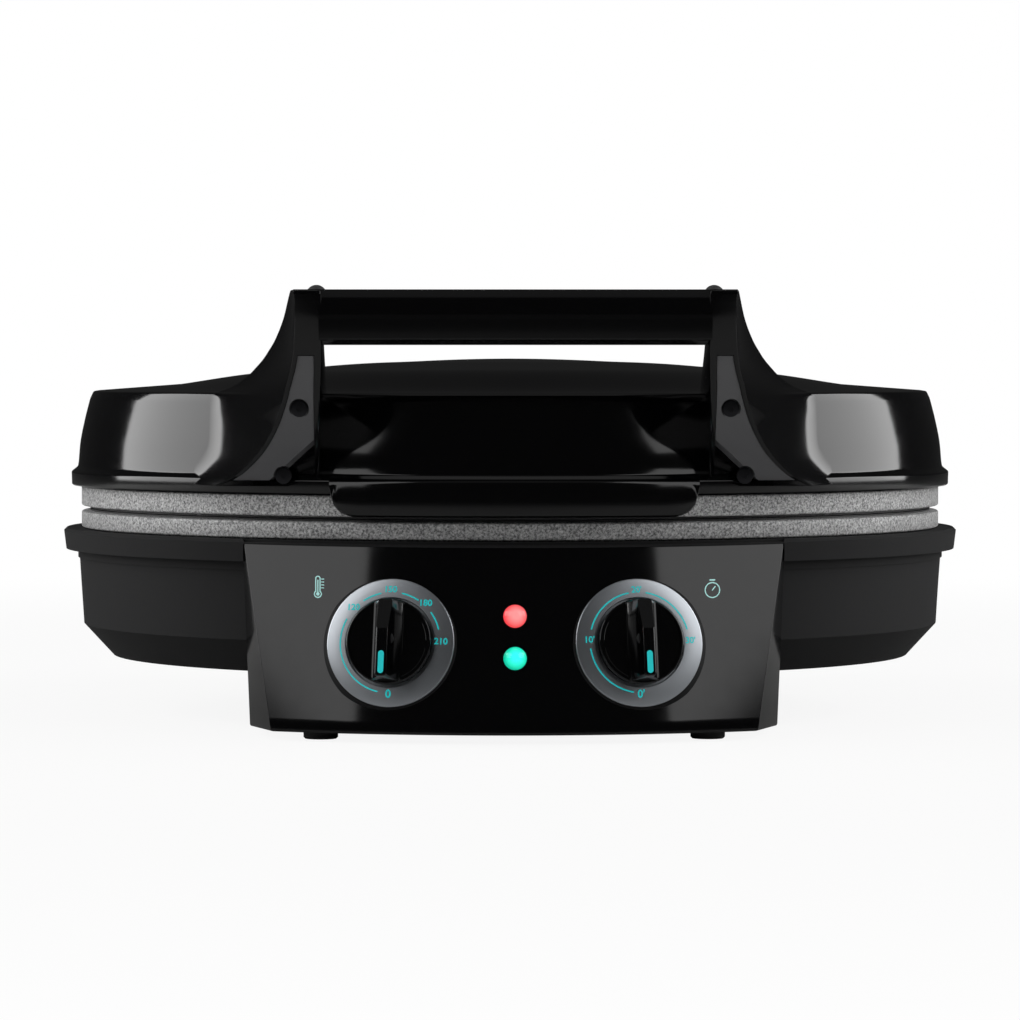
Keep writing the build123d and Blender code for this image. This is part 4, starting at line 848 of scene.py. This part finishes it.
def lid_shell():
    wall = [tuple(point) for point in smooth_curve([lid_rim[-1][:2]] + list(lid_wall), 6)]
    outline = rounded(list(lid_rim)) + wall[1:]
    outline += rounded([lid_wall[-1], lid_shoulder_corner, (lid_shoulder_radius, lid_shoulder_height)])[1:]
    steps = lid_steps
    points, faces = turned(outline, steps)
    rings = [lid_shoulder_radius - lid_ring_pitch * step for step in range(1, lid_rings + 1)]
    first = len(points) - steps
    for radius in rings:
        for step in range(steps):
            angle = 2 * math.pi * step / steps
            x, y = radius * math.cos(angle), radius * math.sin(angle)
            points.append((x, y, lid_top_height(x, y)))
    points.append((0.0, 0.0, lid_top_height(0, 0)))
    for ring in range(len(rings)):
        low = first + ring * steps
        for step in range(steps):
            after = (step + 1) % steps
            faces.append([low + step, low + after, low + steps + after, low + steps + step])
    last = first + len(rings) * steps
    faces += [[last + step, last + (step + 1) % steps, len(points) - 1] for step in range(steps)]
    rim = turned([lid_inside[-1], outline[0]], steps)
    return joined((points, faces), turned(lid_inside, steps), rim)


make_piece("lid_shell", lid_shell(), gloss_black, "lid", ["lid_cover"])


# Horns: each is part of the same moulding. Its outer skin leaves the wall as a tangent and sweeps forward to a
# thin front edge. Its top runs down from the handle as a ridge, and its front is open for a grey insert.
horn_inner = ((87.0, 67.6), (92.0, 67.3), (100.0, 66.9), (110.0, 66.5), (120.0, 66.1), (130.0, 65.6),
              (156.0, 65.6))
horn_edge = ((87.0, 103.5, 138.5), (91.0, 96.4, 146.0), (96.0, 90.8, 152.7), (101.0, 86.6, 159.5),
             (108.5, 82.4, 168.0), (116.5, 79.4, 176.3), (122.0, 77.9, 180.5), (127.5, 76.3, 183.7),
             (133.0, 75.3, 185.9), (138.0, 74.9, 187.4), (144.7, 74.6, 188.6), (150.0, 74.7, 189.0),
             (155.0, 75.2, 189.2))
horn_front = ((87.0, 145.5), (91.0, 149.5), (96.0, 155.5), (101.0, 161.6), (108.5, 170.0), (116.5, 178.0),
              (122.0, 182.3), (127.5, 185.6), (133.0, 187.8), (138.0, 189.2), (144.7, 189.8), (150.0, 189.9),
              (155.0, 189.9))
horn_leave = ((87.0, 47.6), (89.0, 46.6), (91.0, 45.4), (96.0, 43.2), (101.0, 42.2), (108.5, 42.5),
              (117.0, 43.0), (156.0, 43.0))
horn_end_turn = ((87.0, 23.5), (91.0, 25.0), (96.0, 24.5), (101.0, 24.0), (108.5, 22.5), (117.0, 20.0),
                 (125.0, 13.0), (133.0, 7.0), (144.0, 2.0), (156.0, 0.0))
horn_ridge = ((118.4, 116.0), (119.2, 107.0), (119.9, 103.0), (122.5, 97.0), (125.8, 92.6), (128.1, 90.3),
              (130.9, 87.7), (133.7, 85.7), (137.8, 83.1), (144.7, 80.1), (151.6, 78.1), (155.0, 77.0))
horn_root = ((87.0, 125.0), (116.0, 125.0), (121.0, 118.0), (125.0, 126.0), (128.0, 136.0), (133.0, 149.0),
             (138.0, 158.0), (144.7, 165.0), (155.0, 171.0))
horn_bottom = 87.2
horn_top = 154.9
horn_level_bands = ((horn_bottom, 0.6, 51), (118.0, 0.25, 40), (128.0, 0.7, 37))
horn_top_levels = (1.0, 0.5, 0.15, 0.0)
horn_top_rounding = 1.0
horn_top_shrink = 0.1
horn_inner_corner = ((0.0, 0.8), (0.25, 0.25), (0.8, 0.0))
horn_edge_land = 0.2
horn_edge_step = (-0.03, 0.12)
horn_sunk = 0.03
horn_skin_steps = 28
insert_bottom = 89.0
insert_top = 132.6
insert_step = 0.02
insert_recess = 6.6
edge_band = 1.5
inner_band = ((87.0, 1.6), (110.0, 2.0), (133.0, 2.6))
wall_radii = ((84.0, 161.1), (93.0, 161.1), (100.6, 160.4), (108.1, 158.9), (114.1, 157.4), (116.6, 156.7),
              (118.2, 156.0), (119.0, 155.0), (119.6, 152.0), (122.0, 148.0), (156.0, 146.0))


def at_height(table, z):
    """Values of a table at a height, along smooth curves through its rows."""
    place = max(0, min(len(table) - 2, sum(row[0] <= z for row in table) - 1))
    low, high = table[place], table[place + 1]
    before = table[place - 1] if place else low
    after = table[place + 2] if place + 2 < len(table) else high
    width = high[0] - low[0]
    t = min(max((z - low[0]) / width, 0), 1)
    values = []
    for a, b, c, d in zip(before[1:], low[1:], high[1:], after[1:]):
        slope_low = (c - a) / (high[0] - before[0]) * width
        slope_high = (d - b) / (after[0] - low[0]) * width
        values.append((2 * t ** 3 - 3 * t * t + 1) * b + (t ** 3 - 2 * t * t + t) * slope_low
                      + (3 * t * t - 2 * t ** 3) * c + (t ** 3 - t * t) * slope_high)
    return values if len(values) > 1 else values[0]


def skin_curve(z):
    """Control points of the right horn's outer skin at a height, from the wall to the front edge."""
    leave = math.radians(at_height(horn_leave, z))
    radius = at_height(wall_radii, z) - horn_sunk
    start = Vector((radius * math.sin(leave), -radius * math.cos(leave)))
    along = Vector((-math.cos(leave), -math.sin(leave)))
    edge_x, edge_y = at_height(horn_edge, z)
    end = Vector((edge_x, -edge_y))
    turn = math.radians(at_height(horn_end_turn, z))
    arrive = Vector((math.sin(turn), math.cos(turn)))
    gap = end - start
    cross = along.x * arrive.y - along.y * arrive.x
    reach = (gap.x * arrive.y - gap.y * arrive.x) / cross
    return start, start + along * reach, end


def on_curve(curve, t):
    start, middle, end = curve
    return start * (1 - t) ** 2 + middle * 2 * t * (1 - t) + end * t * t


def skin_start(z, curve):
    """Share of the skin curve where the ridge cuts it, or 0 where the skin still reaches the wall."""
    if z <= horn_ridge[0][0]:
        return 0.0
    ridge_x = at_height(horn_ridge, z)
    low, high = 0.0, 1.0
    for _ in range(30):
        middle = (low + high) / 2
        if on_curve(curve, middle).x > ridge_x:
            low = middle
        else:
            high = middle
    return low


def horn_levels():
    levels = [start + pitch * step for start, pitch, count in horn_level_bands for step in range(count)]
    levels += [horn_top - fall for fall in horn_top_levels]
    levels += [insert_bottom - insert_step, insert_bottom, insert_top, insert_top + insert_step]
    return sorted(set(levels))


def horn_section(z):
    """The right horn at a height: its inner flank, its front with the insert's recess, and its outer skin."""
    inner = at_height(horn_inner, z)
    front = at_height(horn_front, z)
    curve = skin_curve(z)
    start = skin_start(z, curve)
    edge = curve[2]
    recess = insert_recess if insert_bottom <= z <= insert_top else 0.0
    band = at_height(inner_band, z)
    left, right = inner + band, edge.x - edge_band
    slant = (edge.y + front) / (edge.x - inner)
    loop = [(inner, -at_height(horn_root, z))]
    loop += [(inner + out, -front + back) for out, back in horn_inner_corner]
    loop += [(left, -front + slant * band), (left, -front + slant * band + recess)]
    loop += [(right, edge.y - slant * edge_band + recess), (right, edge.y - slant * edge_band)]
    loop += [(edge.x - horn_edge_land, edge.y - horn_edge_land * slant)]
    skin = [on_curve(curve, lerp(1, start, step / horn_skin_steps)) for step in range(horn_skin_steps + 1)]
    skin[0] = skin[0] + Vector(horn_edge_step)
    loop += [tuple(point) for point in skin]
    middle = Vector((sum(x for x, y in loop) / len(loop), sum(y for x, y in loop) / len(loop)))
    easing = max(0.0, 1.0 - (horn_top - z) / horn_top_rounding)
    shrink = horn_top_shrink * (1.0 - math.sqrt(max(0.0, 1.0 - easing * easing)))
    return [(x + (middle.x - x) * shrink, y + (middle.y - y) * shrink, z) for x, y in loop]


def as_made(shape):
    return shape


right_horn = lofted([horn_section(z) for z in horn_levels()])
hands = (("right", as_made), ("left", mirrored))
for side, hand in hands:
    make_piece(f"lid_horn_{side}", hand(right_horn), gloss_black, "lid", ["lid_cover"])


# Front lip: a band of the same glossy moulding that hangs over the plates between the horns. Its face tilts out
# towards its lower edge, and its lower corners are rounded.
lip_half_width = 64.0
lip_bottom = 76.9
lip_top = 90.0
lip_inner = 161.3
lip_outer = 165.6
lip_corner = 9.0
lip_steps = 80
lip_face = ((-2.3, 0.0), (-1.3, 0.4), (-0.75, 1.2), (-0.65, 1.8), (-0.6, 2.2))
lip_foot = ((0.5, 1.4), (0.3, 0.6), (-0.6, 0.0))


def front_lip():
    rows = []
    for step in range(lip_steps + 1):
        x = lip_half_width * (2 * step / lip_steps - 1)
        over = max(abs(x) - (lip_half_width - lip_corner), 0)
        bottom = lip_bottom + lip_corner - math.sqrt(max(lip_corner ** 2 - over ** 2, 0))
        section = [(lip_inner, lip_top)] + [(lip_outer + out, lip_top - fall) for out, fall in lip_face]
        section += [(lip_outer + out, bottom + rise) for out, rise in lip_foot] + [(lip_inner, bottom)]
        rows.append([(x, -math.sqrt(radius ** 2 - x * x), z) for radius, z in section])
    return lofted(rows)


make_piece("lid_front_lip", front_lip(), gloss_black, "lid", ["lid_cover"])


# Handle: a bar moulded in the same glossy ABS, screwed between the horns and flush with them. A soft crease
# runs along its front, and its lower edges are rounded for the fingers.
bar_half_length = 66.5
bar_front = ((-187.2, 154.9), (-188.4, 153.0), (-189.5, 150.2), (-189.95, 147.6), (-189.92, 144.6),
             (-189.83, 141.0), (-189.68, 138.0))
bar_front_corner = 0.8
bar_top_front = (-186.6, 154.9)
bar_rest = ((-186.0, 136.1, 1.6), (-172.5, 136.1, 2.5), (-170.0, 140.0, 3.0), (-170.0, 153.5, 1.4),
            (-172.5, 154.9))


def handle_bar():
    front = [tuple(point) for point in smooth_curve(bar_front, 6)]
    outline = rounded([front[-2], (*front[-1], bar_front_corner)] + list(bar_rest), 8)
    outline = front[1:-1] + outline[1:] + [bar_top_front]
    loops = [[(x, y, z) for y, z in outline] for x in (-bar_half_length, 0, bar_half_length)]
    return lofted(loops)


make_piece("handle_grip", handle_bar(), gloss_black, "lid", ["handle_bar"])


# Arm inserts: matt grey caps that close the front of each horn. Each is clipped in, set back behind the horn's
# edges, and held by two screws in round recesses. Its lower inner corner is cut back by a slanted facet.
insert_gap = 0.2
insert_setback = 0.6
insert_depth = 5.8
insert_holes = ((73.6, 114.4), (79.9, 90.9))
insert_hole_radius = 3.4
insert_hole_depth = 2.2
insert_hole_reach = 12.0
insert_columns = 8
insert_rows = 60
screw_profile = ((2.9, 0), (2.9, 1.0, 0.3), (1.0, 1.1), (1.0, 0.4), (0, 0.4))
facet_line = ((69.9, 102.8), (80.6, 93.2))
facet_corner = (69.0, 90.5)
facet_depth = 40.0
grain_depth = 0.03


def grained(name, code, roughness, metallic=0.0, grain_size=0.4, relief=0.2):
    """A plain finish with a fine grain, which breaks its highlights up a little."""
    material, tree = new_material(name)
    place = add_node(tree, "ShaderNodeTexCoord")
    grain = add_node(tree, "ShaderNodeTexNoise", {"Vector": place.outputs["Object"]},
                     Scale=1 / (grain_size * mm), Detail=3.0)
    bump = add_node(tree, "ShaderNodeBump", {"Height": grain.outputs["Fac"]}, Strength=relief,
                    Distance=grain_depth * mm)
    shader = add_node(tree, "ShaderNodeBsdfPrincipled", {"Normal": bump.outputs["Normal"]},
                      **{"Base Color": linear(code), "Roughness": roughness, "Metallic": metallic})
    add_node(tree, "ShaderNodeOutputMaterial", {"Surface": shader.outputs[0]})
    return material


def insert_face(x, z):
    inner, front = at_height(horn_inner, z), at_height(horn_front, z)
    edge = skin_curve(z)[2]
    return lerp(-front, edge.y, (x - inner) / (edge.x - inner)) + insert_setback


def insert_section(z):
    left = at_height(horn_inner, z) + at_height(inner_band, z) + insert_gap
    right = skin_curve(z)[2].x - edge_band - insert_gap
    across = [lerp(left, right, step / insert_columns) for step in range(insert_columns + 1)]
    row = [(x, insert_face(x, z)) for x in across]
    return [(x, y, z) for x, y in row + [(x, y + insert_depth) for x, y in reversed(row)]]


def insert_shape():
    low, high = insert_bottom + insert_gap, insert_top - insert_gap
    levels = [lerp(low, high, step / insert_rows) for step in range(insert_rows + 1)]
    shape = lofted([insert_section(z) for z in levels])
    start, end = (Vector((x, insert_face(x, z), z)) for x, z in facet_line)
    corner = Vector((facet_corner[0], insert_face(*facet_corner) + facet_depth, facet_corner[1]))
    return cut_by_plane(shape, start, (corner - start).cross(end - start))


def facing(x, z, depth):
    """A place behind the insert's face, with its Z towards the front."""
    return Matrix.Translation((x, insert_face(x, z) + depth, z)) @ Matrix.Rotation(math.pi / 2, 4, "X")


def screw_hole(x, z):
    outline = [(0, 0), (insert_hole_radius, 0), (insert_hole_radius, insert_hole_reach), (0, insert_hole_reach)]
    return placed(turned(outline, 48), facing(x, z, insert_hole_depth))


def screw_head(x, z):
    return placed(turned([(0, 0)] + rounded(list(screw_profile)), 48), facing(x, z, insert_hole_depth))


# Dark grey ABS with a spark grain: an even, dull surface beside the polished horn.
matt_grey = grained("matt_grey_abs", "565658", 0.55, grain_size=0.35, relief=0.25)
# Black oxide on steel: a dark metal, so a screw shows only by its soft highlight in the hole.
black_oxide = grained("black_oxide_steel", "3c3c3f", 0.45, 1.0)
dress("insert_grey", matt_grey)
right_insert = insert_shape()
for side, hand in hands:
    piece = make_piece(f"arm_cap_{side}", hand(right_insert), matt_grey, "lid",
                       [f"arm_insert_{side}"], moulding_angle)
    cut_out(piece, [hand(screw_hole(x, z)) for x, z in insert_holes], moulding_angle)
    heads = joined(*(hand(screw_head(x, z)) for x, z in insert_holes))
    make_piece(f"arm_cap_screws_{side}", heads, black_oxide, "lid", ["insert_screws"])


# Plates: two cast aluminium dishes with a stone-speckled non-stick coating. Each has a raised land that meets
# the other's, so a narrow dark groove runs round between them. One is screwed to the bowl, the other to the lid.
plate_radius = 160.0
plate_edge = 0.7
groove_depth = 3.2
groove_radius = 0.3
rib_width = 1.6
rib_cover = (0.04, 0.03)
plate_steps = 360
seat_out = 2.0
back_out = 1.0
dish_edge = (150.0, 147.0)
dish_corners = (1.2, 1.5)
speckle_size = 0.85
speckle_depth = 0.06
lower_plate_heights = (68.8, 74.8, 75.6, 67.1, 63.1)
upper_plate_heights = (84.1, 76.8, 76.0, 84.5, 88.5)


def stone_coating():
    """Non-stick coating with stone speckle: light and dark flecks in a grey ground with a faint orange peel."""
    material, tree = new_material("stone_coating")
    place = add_node(tree, "ShaderNodeTexCoord")
    flecks = add_node(tree, "ShaderNodeTexNoise", {"Vector": place.outputs["Object"]},
                      Scale=1 / (speckle_size * mm), Detail=4.0, Roughness=0.75)
    ramp = add_node(tree, "ShaderNodeValToRGB", {"Fac": flecks.outputs["Fac"]})
    ramp.color_ramp.elements[0].position = 0.38
    ramp.color_ramp.elements[0].color = linear("505051")
    ramp.color_ramp.elements[1].position = 0.64
    ramp.color_ramp.elements[1].color = linear("d2d2d2")
    bump = add_node(tree, "ShaderNodeBump", {"Height": flecks.outputs["Fac"]}, Strength=0.3,
                    Distance=speckle_depth * mm)
    shader = add_node(tree, "ShaderNodeBsdfPrincipled", {"Normal": bump.outputs["Normal"],
                      "Base Color": ramp.outputs["Color"]}, Roughness=0.5)
    add_node(tree, "ShaderNodeOutputMaterial", {"Surface": shader.outputs[0]})
    return material


def plate(heights):
    """One plate: its back edge, band, land, dish and back, from the outside round to the middle."""
    seat, band, land, dish, back = heights
    land_radius = plate_radius - groove_depth
    start = (dish_edge[1] + seat_out, seat)
    outline = rounded([start, (plate_radius, seat, plate_edge), (plate_radius, band, plate_edge),
                       (land_radius, band, groove_radius), (land_radius, land, groove_radius),
                       (dish_edge[0], land, dish_corners[0]), (dish_edge[1], dish, dish_corners[1]), (0, dish)])
    return turned(outline + [(0, back), (dish_edge[1] + back_out, back), start], plate_steps)


def land_shade_band(heights):
    """A band over the rib on which the plates meet: its coating has no speckle, and its dark grey is painted shade
    for the groove.
    """
    inner, outer = plate_radius - groove_depth - rib_width, plate_radius - groove_depth + rib_cover[0]
    low, high = heights[1], heights[2] + math.copysign(rib_cover[1], heights[2] - heights[1])
    return turned([(inner, low), (outer, low), (outer, high), (inner, high), (inner, low)], plate_steps)


stone = stone_coating()
# The same coating without its speckle, in a plain dark grey: painted shade that makes the groove read as a line.
groove_shade_coating = grained("groove_shade_coating", "2c2c2d", 0.55)
dress("stone_coating", stone)
for level, heights, body in (("lower", lower_plate_heights, "base"), ("upper", upper_plate_heights, "lid")):
    make_piece(f"{level}_cooking_plate", plate(heights), stone, body, [f"{level}_plate"])
    # Each land band is painted shade: a dark sheet over the rib, where the groove's shade falls.
    make_piece(f"{level}_land_shade_band", land_shade_band(heights), groove_shade_coating, body,
               [f"{level}_plate"])


# Small and inner parts: feet, screws, hinges, elements, reflectors and wiring, each as the frame has it. They
# are moulded, turned or pressed, and are screwed, clipped or pushed into place.

# Moulded rubber: dull, with no highlight.
dress("rubber_black", grained("rubber_black", "3a3a3a", 0.75))
# Zinc plate: a bright metal with soft-edged highlights.
dress("steel", grained("zinc_plated_steel", "b0b0b2", 0.3, 1.0))
# Powder-coated steel: black, with a satin sheen.
dress("hinge_steel", grained("powder_coated_steel", "141415", 0.4))
# Steel sheath that has been red hot: a brownish grey metal without much shine.
dress("element_sheath", grained("oxidised_sheath", "6a6660", 0.45, 1.0))
# Aluminised sheet: pale metal that spreads what it mirrors.
dress("reflector_sheet", grained("aluminised_sheet", "cfcfd0", 0.35, 1.0))
# Phenolic moulding: brown and dull.
dress("phenolic_brown", grained("phenolic_moulding", "4a362a", 0.6))
# Glazed ceramic: ivory with a glassy highlight.
dress("ceramic_ivory", grained("glazed_ceramic", "dcd6c6", 0.3))
# Bright copper: warm metal, on the thermostat's bulb and capillary.
dress("copper", grained("bright_copper", "c07850", 0.35, 1.0))
# Glass-fibre sleeve: off-white and dull, like cloth.
dress("wire_sleeve", grained("glass_fibre_sleeve", "c8c4ba", 0.7))
